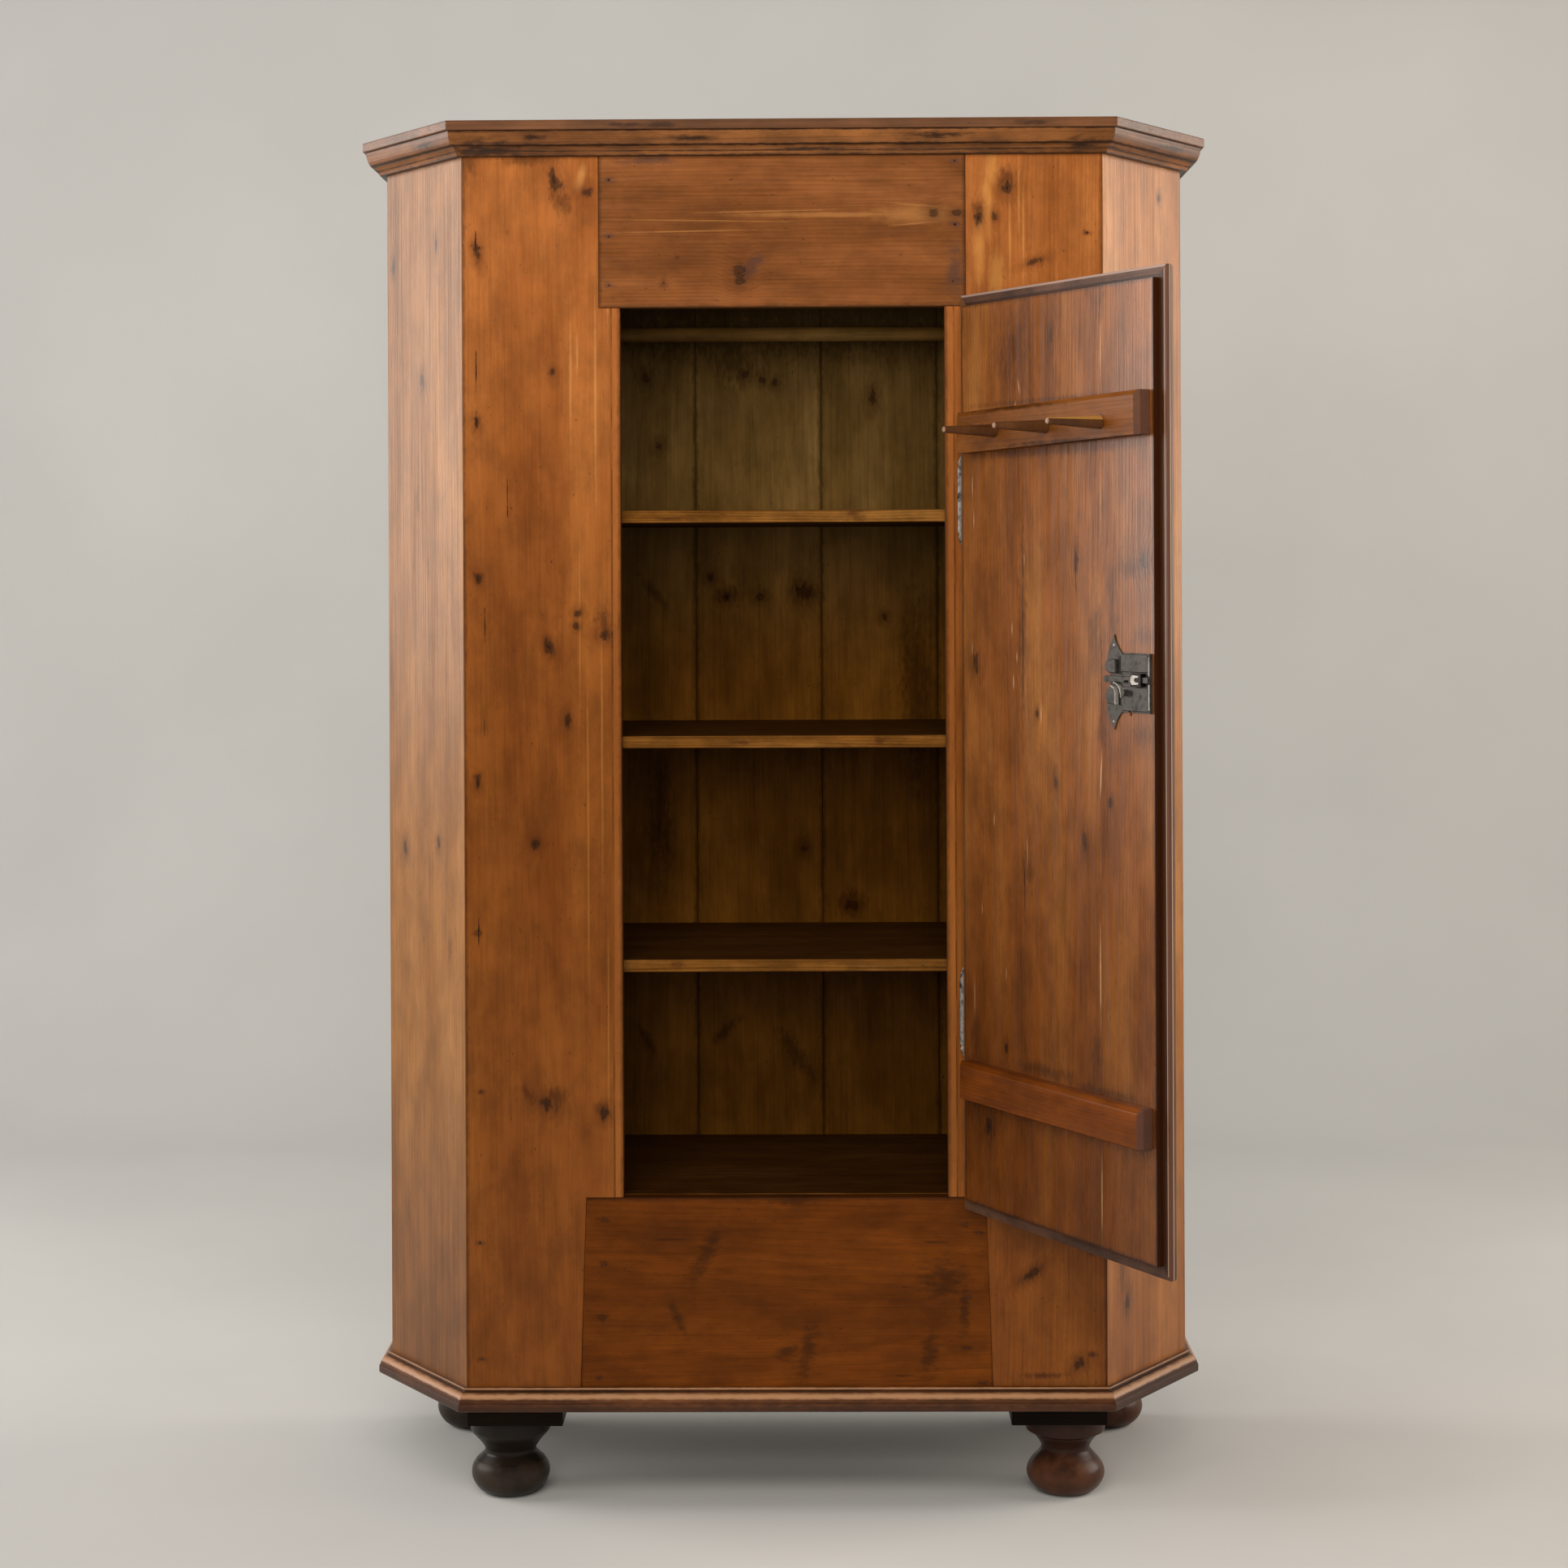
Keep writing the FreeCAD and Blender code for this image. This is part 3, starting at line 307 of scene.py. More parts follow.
def growthRings(tree, own, wander, look, pull):
    # rings round a pith that lies behind the face and slopes along the board, which gives long arches and lines
    x, y, z = addNode(tree, "ShaderNodeSeparateXYZ", {}, {0: own}).outputs
    across = sumOf(tree, x, wander, look["wander"] * mm)
    fromHeart = addNode(tree, "ShaderNodeMath", {"operation": "SUBTRACT"}, {0: across, 1: look["heart"] * mm})
    depth = sumOf(tree, y, z, look["taper"])
    toPith = addNode(tree, "ShaderNodeMath", {"operation": "ADD"}, {0: depth, 1: look["pith"] * mm})
    both = addNode(tree, "ShaderNodeCombineXYZ", {}, {0: fromHeart.outputs[0], 1: toPith.outputs[0]})
    radius = addNode(tree, "ShaderNodeVectorMath", {"operation": "LENGTH"}, {0: both.outputs[0]}).outputs["Value"]
    count = addNode(tree, "ShaderNodeMath", {"operation": "DIVIDE"}, {0: radius, 1: look["ring"] * mm}).outputs[0]
    if pull is not None:
        count = addNode(tree, "ShaderNodeMath", {"operation": "ADD"}, {0: count, 1: pull}).outputs[0]
    part = addNode(tree, "ShaderNodeMath", {"operation": "FRACT"}, {0: count}).outputs[0]
    grey = [(place, (tone, tone, tone, 1.0)) for place, tone in ringTones]
    return addNode(tree, "ShaderNodeValToRGB", {"ramp": grey}, {0: part}).outputs[0]


def markLayer(tree, colour, away, low, high, share, over):
    return blendColour(tree, fade(tree, away, low, high, (0.0, share)), colour, toLinear(over))


def knotLayer(tree, colour, away, look):
    # black-brown heart that runs out raggedly into a darker halo in the wood round it
    quarter = addNode(tree, "ShaderNodeMath", {"operation": "MULTIPLY"}, {0: away, 1: 0.25}).outputs[0]
    knot = addNode(tree, "ShaderNodeValToRGB", {"ramp": [
        (0.0, toLinear(look["knotRim"], 0.92)), (0.08, toLinear(look["knotHeart"], 0.85)),
        (0.17, toLinear(look["knotRim"], 0.8)), (0.26, toLinear(look["knotHeart"], 0.5)),
        (0.4, toLinear(look["line"], 0.35)), (0.8, toLinear(look["line"], 0.0))]}, {0: quarter})
    return blendColour(tree, knot.outputs[1], colour, knot.outputs[0])


def lipLayer(tree, colour, beyond, broken, look):
    # the strip beside the doorway that the door's lip covers stayed paler
    lap = doorway["lipLap"] * mm
    covered = fade(tree, beyond, lap + 0.5 * mm, lap - 0.5 * mm, (0.0, 0.16))
    colour = blendColour(tree, covered, colour, toLinear(look["pale"]))
    # a broken line of dirt lies where the lip ends
    ofTwice = addNode(tree, "ShaderNodeMath", {"operation": "DIVIDE"}, {0: beyond, 1: 2 * lap}).outputs[0]
    rim = look["knotRim"]
    dirt = addNode(tree, "ShaderNodeValToRGB", {"ramp": [
        (0.0, toLinear(rim, 0.0)), (0.46, toLinear(rim, 0.0)), (0.5, toLinear(rim, 0.75)),
        (0.54, toLinear(rim, 0.5)), (0.62, toLinear(rim, 0.0))]}, {0: ofTwice})
    share = fade(tree, broken, 0.38, 0.6)
    share = addNode(tree, "ShaderNodeMath", {"operation": "MULTIPLY"}, {0: share, 1: dirt.outputs[1]}).outputs[0]
    return blendColour(tree, share, colour, dirt.outputs[0])


def patinaLayer(tree, colour, local, look):
    # painted shade: the wood is darkened from a given height down to the floor, for the light that falls off lower down
    low, high, tint = look["patina"]
    height = addNode(tree, "ShaderNodeSeparateXYZ", {}, {0: local}).outputs[0 if look["grain"] == "level" else 2]
    darkened = fade(tree, height, low * mm, high * mm, (1.0, 0.0))
    return blendColour(tree, darkened, colour, toLinear(tint), "MULTIPLY")


def pineMaterial(name, **changes):
    # pine, planed by hand, stained and waxed: arched grain, fine fibres, dark knots, shakes, old stains, satin sheen,
    # with the painted shade and highlights that some boards are given
    look = {**pineLook, **changes}
    material, tree, shader = newMaterial(name)
    lay, local, own = boardSpace(tree, look)
    noise = {kind: grainNoise(tree, own, *sizes) for kind, sizes in pineNoise.items()}

    # marks have ragged edges, so their distances are shaken by a coarse noise
    ragged = addNode(tree, "ShaderNodeMath", {"operation": "MULTIPLY_ADD"}, {
        0: noise["ragged"], 1: 2.7, 2: -1.3}).outputs[0]
    pull, knotAway = None, None
    if look["knots"]:
        clean = nearestSpot(tree, local, lay, look["knots"])
        knotAway = sumOf(tree, clean, ragged)
        pull = fade(tree, clean, 0.3, 4.5, (look["knotPull"], 0.0))
    rings = growthRings(tree, own, noise["wander"], look, pull)

    tones = [(place, toLinear(look[tone])) for place, tone in ((0.28, "dark"), (0.5, "mid"), (0.72, "pale"))]
    colour = addNode(tree, "ShaderNodeValToRGB", {"ramp": tones}, {0: noise["tone"]}).outputs[0]
    ringShare = addNode(tree, "ShaderNodeMath", {"operation": "MULTIPLY"}, {0: rings, 1: look["ringShare"]})
    colour = blendColour(tree, ringShare.outputs[0], colour, toLinear(look["line"]))
    colour = markLayer(tree, colour, noise["streak"], 0.5, 0.34, look["streakShare"], look["line"])
    colour = markLayer(tree, colour, noise["streak"], 0.54, 0.72, look["streakShare"], look["pale"])
    for kind, low, high in (("fibre", 0.3, 0.7), ("cloud", 0.3, 0.68)):
        shade = fade(tree, noise[kind], low, high, (1.0 - look[kind + "Share"], 1.0))
        colour = blendColour(tree, 1.0, colour, shade, "MULTIPLY")
    colour = markLayer(tree, colour, noise["speck"], 0.74, 0.8, look["speckShare"], look["knotRim"])

    # pale marks, and on the base moulding painted highlights
    if look["flames"]:
        away = sumOf(tree, nearestSpot(tree, local, lay, look["flames"]), ragged, 0.3)
        colour = markLayer(tree, colour, away, 1.1, 0.2, look["flameShare"], look["flame"])
    # stains, and on some boards painted shade and painted shadows
    if look["stains"]:
        away = sumOf(tree, nearestSpot(tree, local, lay, look["stains"]), ragged, 0.8)
        colour = markLayer(tree, colour, away, 1.25, 0.1, look["stainShare"], look["stain"])
    if knotAway is not None:
        colour = knotLayer(tree, colour, knotAway, look)
    if look["shakes"]:
        away = sumOf(tree, nearestSpot(tree, local, lay, look["shakes"]), ragged, 0.7)
        colour = markLayer(tree, colour, away, 1.0, 0.5, 0.9, look["knotRim"])
    # painted shade, darker towards the floor
    if look["patina"]:
        colour = patinaLayer(tree, colour, local, look)
    if look["lipMark"]:
        beyond = beyondBox(tree, local, lay, doorway["middle"], doorway["half"])
        colour = lipLayer(tree, colour, beyond, noise["cloud"], look)
    # darker within a few millimetres of a board's edges: dirt along the joints, and painted shade in the door's rebate
    # beside the lip
    if look["grime"]:
        beyond = sumOf(tree, beyondBox(tree, local, lay, *look["grime"]), ragged, 2.2 * mm)
        colour = markLayer(tree, colour, beyond, -6.0 * mm, 0.0, 0.6, look["knotRim"])
    for middle, half, tint, share in look["bands"]:
        beyond = beyondBox(tree, local, lay, middle, half)
        colour = markLayer(tree, colour, beyond, 0.3 * mm, -0.3 * mm, share, tint)
    # a tint just outside a box: painted shade on the door boards' edges in the rebate, painted highlights on the peg
    # tips, and the battens' ends darker
    if look["edgeTint"]:
        middle, half, tint, share = look["edgeTint"]
        beyond = beyondBox(tree, local, lay, middle, half)
        colour = markLayer(tree, colour, beyond, -0.2 * mm, 0.4 * mm, share, tint)
    tree.links.new(colour, shader.inputs["Base Color"])

    gloss = fade(tree, noise["streak"], 0.3, 0.7, (look["roughness"] + 0.1, look["roughness"] - 0.07))
    tree.links.new(gloss, shader.inputs["Roughness"])
    ridge = sumOf(tree, sumOf(tree, noise["fibre"], rings, -0.5), noise["plane"], 2.5)
    bump = addNode(tree, "ShaderNodeBump", {}, {
        "Strength": look["bump"], "Distance": look["bumpDepth"] * mm, "Height": ridge})
    tree.links.new(bump.outputs[0], shader.inputs["Normal"])
    shader.inputs["Specular IOR Level"].default_value = look["specular"]
    return material


def ironMaterial(name, dark, bright, roughness, bare=1.0):
    # forged iron, filed and rubbed: dark scale with brighter worn patches, or dull rust where no metal is bare
    material, tree, shader = newMaterial(name)
    place = addNode(tree, "ShaderNodeTexCoord").outputs["Object"]
    patch = grainNoise(tree, place, 14, 14, 6.0, 0.62)
    grit = grainNoise(tree, place, 2.5, 2.5, 3.0)
    tones = [(0.36, toLinear(dark)), (0.52, toLinear(bright)), (0.68, toLinear(dark))]
    tone = addNode(tree, "ShaderNodeValToRGB", {"ramp": tones}, {0: patch})
    tree.links.new(tone.outputs[0], shader.inputs["Base Color"])
    rough = fade(tree, patch, 0.35, 0.65, (roughness - 0.08, roughness + 0.12))
    tree.links.new(rough, shader.inputs["Roughness"])
    bump = addNode(tree, "ShaderNodeBump", {}, {"Strength": 0.35, "Distance": 0.3 * mm, "Height": grit})
    tree.links.new(bump.outputs[0], shader.inputs["Normal"])
    shader.inputs["Metallic"].default_value = bare
    return material


def stainedTurnery(name, dark, warm, roughness):
    # turned hardwood stained black and polished: fine turning rings round the form, warm wood where it has rubbed thin
    material, tree, shader = newMaterial(name)
    place = addNode(tree, "ShaderNodeTexCoord").outputs["Object"]
    rub = grainNoise(tree, place, 32, 32, 5.0, 0.6)
    rings = grainNoise(tree, place, 400, 1.4, 2.0)
    height = addNode(tree, "ShaderNodeSeparateXYZ", {}, {0: place}).outputs[2]
    low = fade(tree, height, 66 * mm, 30 * mm, (-0.14, 0.14))  # the cup is darker above 66 mm and the ball warmer below 30 mm
    tones = [(0.4, toLinear(dark)), (0.72, toLinear(warm))]
    tone = addNode(tree, "ShaderNodeValToRGB", {"ramp": tones}, {0: sumOf(tree, rub, low)})
    tree.links.new(tone.outputs[0], shader.inputs["Base Color"])
    rough = fade(tree, rub, 0.3, 0.7, (roughness - 0.07, roughness + 0.1))
    tree.links.new(rough, shader.inputs["Roughness"])
    bump = addNode(tree, "ShaderNodeBump", {}, {"Strength": 0.2, "Distance": 0.3 * mm, "Height": rings})
    tree.links.new(bump.outputs[0], shader.inputs["Normal"])
    shader.inputs["Specular IOR Level"].default_value = 0.22
    return material


def boxOf(*nodes):
    # middle and half size of some nodes together, in millimetres
    lows, highs = zip(*(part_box(node) for node in nodes))
    low = Vector([min(v) for v in zip(*lows)]) / mm
    high = Vector([max(v) for v in zip(*highs)]) / mm
    return (low + high) / 2, (high - low) / 2


def faceOf(node):
    # the outline of a board's face, with no limit in its thickness
    middle, half = boxOf(node)
    return middle, half + Vector((0.0, noLimit, 0.0))


# cut nails: where each head stands on the front frame and on the shut door's inner face, in millimetres
nails = {
    "headRadius": 1.8, "headRise": 0.5, "sides": 6, "topShare": 0.62, "spread": (0.8, 1.25), "seed": 7,
    "smudge": (9.0, 5.0), "lockPlateRise": 2.0,
    "front": [
        (-231, 1774), (-231, 1698), (-231, 1633), (231, 1797), (231, 1712), (228, 1636),
        (-242, 385), (-243, 326), (-245, 255), (-252, 176), (238, 379), (257, 367), (242, 282), (240, 214), (262, 168),
        (-405, 1684), (-410, 1456), (-408, 1247), (-410, 978), (-409, 769), (-408, 557), (-409, 355), (-407, 200),
        (407, 1700), (410, 1470), (408, 1240), (410, 985), (409, 770), (408, 560), (409, 340), (407, 205)],
    "doorFace": [(-133, 1159), (-132, 1066), (-206, 1141), (-206, 1082)],
}


def smudges(low, high, under=endless, over=-endless):
    # rust that the nails between two places across the front have bled into the wood
    return [(x, z, *nails["smudge"]) for x, z in nails["front"] if low <= x <= high and over <= z <= under]


# the stiles are darkened from 1780 mm down to the floor by painted shade
stileColours = {
    "pale": "#BC7439", "mid": "#A8632D", "dark": "#90501F", "specular": 0.18,
    "patina": (900.0, 1780.0, "#C8C19E"), "lipMark": True}
leftStilePine = pineMaterial(
    "stainedPineLeftStile", **stileColours, heart=-240.0, grime=faceOf("stile_left"),
    knots=[
        (-303, 1774, 8, 16, -33), (-261, 1758, 9, 7), (-407, 1675, 4, 12, -12), (-307, 1519, 3, 5),
        (-409, 1448, 4, 8), (-408, 1241, 4, 8, -20), (-275, 1196, 5, 5), (-276, 1179, 4, 5), (-239, 1166, 10, 8),
        (-313, 1150, 6, 12, -30), (-289, 1051, 4, 9), (-409, 970, 4, 8), (-332, 888, 7, 7), (-320, 541, 8, 14, -50),
        (-242, 528, 7, 8, 20)],
    shakes=[
        (-368, 1352, 1.0, 30), (-399, 1181, 1.0, 26), (-400, 1043, 1.0, 24), (-409, 1516, 1.0, 34),
        (-409, 769, 1.0, 30), (-409, 1690, 1.0, 20), (-409, 1455, 0.9, 24)],
    flames=[
        (-268, 1776, 8, 26, 12), (-274, 1540, 2, 34), (-250, 1500, 2.4, 200), (-283, 1500, 2.4, 120),
        (-233, 1650, 1.6, 110), (-243, 1010, 2.0, 230), (-262, 900, 1.6, 300), (-272, 1180, 1.4, 160),
        (-236, 640, 1.6, 200)],
    flameShare=0.3, ringShare=0.1, streakShare=0.1, fibreShare=0.09,
    stains=smudges(-430, -400) + [
        (-340, 1802, 50, 10), (-240, 1184, 12, 26), (-306, 552, 16, 14), (-345, 556, 16, 7, 60), (-243, 534, 12, 14),
        (-296, 1744, 14, 24, -30), (-418, 1800, 14, 30)],
    stain="#3A2009", stainShare=0.6)
rightStilePine = pineMaterial(
    "stainedPineRightStile", **stileColours, heart=330.0, grime=faceOf("stile_right"),
    knots=[
        (300, 1761, 8, 8), (263, 1721, 6, 11), (336, 1662, 4, 12, 70), (326, 312, 5, 15, 55), (389, 193, 6, 9, 50),
        (283, 1722, 4, 7)],
    flames=[
        (280, 1784, 12, 34), (286, 1643, 14, 44), (263, 1684, 10, 70), (274, 1740, 10, 60), (316, 1750, 1.8, 70),
        (322, 1700, 1.8, 80), (304, 1690, 2.0, 70)],
    flame="#D6964C", flameShare=0.36,
    stains=smudges(400, 430) + [(343, 177, 34, 5), (300, 1775, 14, 16), (262, 1732, 10, 16)], stain="#35170A")
topRailPine = pineMaterial(
    "stainedPineTopRail", grain="level", heart=1740.0, grime=faceOf("top_rail"), specular=0.18, ringShare=0.24,
    pale="#9A5E32", mid="#844E24", dark="#70401A", line="#4E290F",
    knots=[(-57, 1646, 8, 15), (202, 1728, 7, 6), (232, 1727, 9, 4), (-158, 1636, 3, 3), (-140, 1670, 2, 2)],
    stains=[(-40, 1657, 12, 26, 45), (232, 1650, 14, 40), (-180, 1800, 40, 8)] + smudges(-245, 245, over=1603),
    stain="#46322C",
    flames=[
        (178, 1726, 74, 15), (60, 1726, 170, 4.4), (182, 1738, 48, 1.8, 5), (182, 1714, 48, 1.8, -5),
        (-20, 1731, 130, 1.5, -1), (-110, 1719, 150, 1.4, 1), (-120, 1705, 130, 1.4, -1)],
    flame="#BC8248", flameShare=0.34)
bottomRailPine = pineMaterial(
    "stainedPineBottomRail", grain="level", heart=300.0, grime=faceOf("bottom_rail"), specular=0.1,
    pale="#7C400C", mid="#6A3508", dark="#582B05", line="#3A1C03",
    knots=[(275, 298, 5, 5)],
    stains=[
        (-108, 340, 15, 52, 28), (-146, 256, 8, 32, -22), (28, 214, 13, 46, 12), (0, 210, 10, 24, 65),
        (191, 208, 14, 42, 6), (209, 308, 34, 30), (237, 264, 8, 44), (9, 410, 44, 8), (-154, 359, 26, 2),
        (203, 355, 24, 2), (158, 177, 32, 2)] + smudges(-280, 280, under=415),
    stain="#2A1606", stainShare=0.62)
# the cants are darkened below 580 mm by painted shade, where their sheen fades
cantColours = {
    "pale": "#B27A42", "mid": "#9B652F", "dark": "#81511F", "line": "#5A3412", "roughness": 0.38, "specular": 0.38,
    "ringShare": 0.2, "streakShare": 0.2, "cloudShare": 0.26, "bump": 0.4, "patina": (150.0, 580.0, "#DACEBC")}
sunnyCant = {**cantColours, "pale": "#CE8A48", "mid": "#B87434", "dark": "#9E6026"}
cantPine = {
    "left": pineMaterial(
        "stainedPineLeftCant", turn=cantTurn, about=(-cant["corner"], cant["face"], 0.0), heart=-520.0, **cantColours,
        knots=[(-546, 1513, 6, 11), (-631, 1676, 5, 9), (-602, 869, 5, 9), (-502, 883, 4, 9), (-503, 1697, 4, 9)],
        stains=[
            (-560, 1348, 9, 26), (-530, 1257, 7, 22), (-600, 368, 12, 30), (-470, 743, 7, 20), (-640, 1100, 8, 60)],
        stainShare=0.35),
    "right": pineMaterial(
        "stainedPineRightCant", turn=-cantTurn, about=(cant["corner"], cant["face"], 0.0), heart=520.0, **sunnyCant,
        knots=[(587, 1763, 4, 6), (482, 263, 6, 12), (508, 1180, 7, 9)],
        stains=[(470, 300, 10, 40)], stainShare=0.4),
}
sidePine = pineMaterial(
    "stainedPineSides", turn=90.0, heart=120.0, knots=[(60, 1400, 8, 10), (140, 720, 7, 9), (20, 330, 6, 7)],
    **{**cantColours, "cloudShare": 0.2, "ringShare": 0.28, "streakShare": 0.26})
onDoor = {"turn": -doorOpen, "about": tuple(hingePlace)}  # places on the door are given with the door shut
doorPine = pineMaterial(
    "stainedPineDoor", **onDoor, heart=40.0, roughness=0.27, specular=0.5,
    pale="#A0662E", mid="#8A5021", dark="#723F15", line="#4E290C",
    # painted shade darkens the door below 1150 mm
    cloudShare=0.36, streakShare=0.14, ringShare=0.1, patina=(480.0, 1150.0, "#CABE9C"),
    knots=[
        (-194, 1262, 9, 10), (-50, 1262, 5, 12), (-4, 985, 4, 10, 8), (183, 1132, 9, 15), (38, 1068, 3, 5),
        (154, 525, 10, 15), (-67, 912, 5, 11, 10), (-123, 967, 5, 6), (113, 635, 4, 6), (5, 1546, 4, 12)],
    shakes=[
        (-50, 1240, 0.9, 30), (5, 1520, 0.8, 26), (70, 1180, 0.9, 130), (68, 840, 0.9, 60), (-104, 1110, 0.9, 70),
        (-60, 470, 0.9, 16)],
    # the dark lines running across just above and below the two battens are painted shadows of the battens; the rest
    # are stains
    stains=[
        (-168, 1253, 50, 16), (-128, 1212, 16, 60), (88, 1530, 48, 52), (-74, 1402, 120, 9), (60, 1401, 150, 7),
        (0, 1466, 220, 4), (-93, 1160, 22, 60), (-190, 1170, 30, 16), (-190, 1052, 30, 14), (-108, 1052, 18, 34),
        (25, 618, 90, 9), (-90, 655, 12, 40), (-110, 610, 90, 7), (186, 646, 12, 30), (72, 1190, 12, 150),
        (190, 560, 26, 60), (-105, 1590, 12, 30), (62, 868, 16, 36)],
    stain="#3A2216", stainShare=0.52,
    flames=[
        (188, 1360, 1.0, 16), (185, 1318, 1.0, 12), (95, 1175, 1.0, 10), (84, 1139, 1.0, 9), (92, 1107, 1.0, 12),
        (29, 1068, 1.2, 14), (66, 1264, 1.0, 10), (190, 1147, 1.0, 12), (-102, 1000, 1.7, 36, -4), (-99, 750, 1.9, 76),
        (-100, 480, 1.6, 60), (-103, 1330, 1.1, 70), (-104, 1520, 1.1, 46), (139, 926, 0.9, 9), (169, 807, 0.9, 11),
        (112, 729, 0.9, 12), (77, 1485, 1.2, 14, 14), (86, 1462, 1.2, 9, -20), (62, 890, 1.0, 26), (188, 690, 1.0, 30)],
    # the door's dark band inside the lip and on its boards' edges is painted shade in the rebate
    flame="#DCB48C", flameShare=0.62, grime=((0.0, 0.0, 1009.0), (213.5, noLimit, 591.0)),
    bands=[((0.0, -330.0, 1009.0), (noLimit, 102.0, noLimit), "#8A5324", 0.55)],  # outer face, stained again
    edgeTint=((0.0, 0.0, 1009.0), (212.6, noLimit, 590.2), "#2C1204", 0.92))
battenPine = pineMaterial(
    "stainedPineBattens", **onDoor, grain="level", heart=1400.0, ring=5.0, specular=0.2, cloudShare=0.36,
    # painted shade darkens and warms the lower batten
    pale="#8D5521", mid="#784418", dark="#62360F", line="#3E2008", patina=(700.0, 1300.0, "#ECD08A"),
    # the dark spots round the peg bases and the dark lines along the batten are painted shade and shadow of the pegs
    stains=[
        (-132.5, 1430, 12, 12), (-15.5, 1430, 9, 10), (101.5, 1430, 9, 10), (60, 1458, 120, 4), (-60, 1410, 150, 4)],
    stain="#1C0E07", stainShare=0.75, edgeTint=((0.0, 0.0, 1000.0), (201.5, noLimit, noLimit), "#4A3630", 0.7))
pegPine = pineMaterial(
    "stainedPinePegs", **onDoor, ring=4.0, pale="#6B4326", mid="#573419", dark="#452611", line="#2E1709",
    # the golden band on the third peg's top and the pale tips of the pegs are painted highlights
    bands=[((-132.5, -157.0, 1438.0), (10.0, 42.0, 5.0), "#B98642", 0.65)],
    edgeTint=((0.0, -219.2, 1430.0), (noLimit, 100.0, noLimit), "#8E6E5A", 0.8))
# the lip's back beside the board is painted dark, a painted shade in the rebate, and it has a rubbed bead and a quirk
# its edge went grey and its corner is rubbed bright
freeLipBands = [
    ((-218.5, -225.0, 1009.0), (5.3, 2.0, 700.0), "#2E1405", 0.9),
    ((-224.6, -225.0, 1009.0), (0.8, 2.0, 700.0), "#A88A74", 0.7),
    ((-227.5, -227.6, 1009.0), (1.8, 2.7, 700.0), "#573428", 0.75),
    ((-225.9, -225.0, 1009.0), (0.5, 2.0, 700.0), "#24120A", 0.85),
    ((-228.5, -230.8, 1009.0), (3.0, 0.6, 700.0), "#C0A88F", 0.7)]
levelLipBands = [
    ((0.0, -225.0, 1613.6), (400.0, 3.0, 1.4), "#B0968A", 0.6),
    ((0.0, -225.0, 1602.6), (400.0, 3.0, 1.8), "#26150D", 0.75)]
lipPine = {
    "upright": pineMaterial(
        "wornPineLipStiles", **onDoor, bands=freeLipBands, specular=0.3, ring=3.5,
        pale="#7E5838", mid="#684428", dark="#50321A", line="#301B0B"),
    "level": pineMaterial(
        "wornPineLipRails", **onDoor, grain="level", bands=levelLipBands, specular=0.3, ring=3.5, cloudShare=0.6,
        pale="#7E5C48", mid="#5C3E2E", dark="#3E2619", line="#24140B"),
}
# mouldings: painted shade lies in the quirks and under the steps, and the base's round has a painted highlight along
# its crown
mouldings = {
    "runs": {"front": 0.0, "cant_left": cantTurn, "cant_right": -cantTurn, "side_left": 90.0, "side_right": 90.0},
    "cornice": {
        "pale": "#A46732", "mid": "#825026", "dark": "#5E3617", "line": "#341B09",
        "ring": 3.0, "ringShare": 0.3, "streakShare": 0.3, "cloudShare": 0.46, "specular": 0.34,
        # the lines right across at 1837, 1818, 1811 and 1805 mm are painted shade under the top board and the
        # mouldings' steps; the others are stains
        "stains": [
            (0, 1837, endless, 2.2), (0, 1818, endless, 1.8), (0, 1811, endless, 1.0), (0, 1805, endless, 2.2),
            (-395, 1812, 60, 16), (-330, 1828, 20, 5), (-120, 1826, 40, 4), (210, 1828, 46, 5), (400, 1815, 20, 12),
            (40, 1812, 60, 3)],
        "stain": "#180B05", "stainShare": 0.85},
    "base": {
        "pale": "#7C4A28", "mid": "#62391C", "dark": "#482710", "line": "#2E1608",
        "ring": 4.0, "specular": 0.3, "roughness": 0.34, "cloudShare": 0.46,
        # the pale bands on the round's crown at 153 mm and on the fillet's top at 161.6 mm are painted highlights
        "flames": [(0, 153.0, endless, 4.2), (0, 161.6, endless, 1.4)], "flame": "#C2926A", "flameShare": 0.66,
        # the fascia is stained darker; the thin lines at 145 and 158 mm are painted shade under the round and in its
        # quirk
        "stains": [(0, 137.0, endless, 7.5), (0, 145.0, endless, 1.3), (0, 158.0, endless, 1.3)],
        "stain": "#28130A", "stainShare": 0.6},
}
mouldingPine = {
    (band, run): pineMaterial("wornPine_%s_%s" % (band, run), grain="level", turn=turn, **mouldings[band])
    for band in ("cornice", "base") for run, turn in mouldings["runs"].items()}
bareWood = {"line": "#361E05", "roughness": 0.6, "specular": 0.08}  # the inside was never waxed
backSeams = [boxOf("back_board_%d" % number) for number in range(1, 6)]
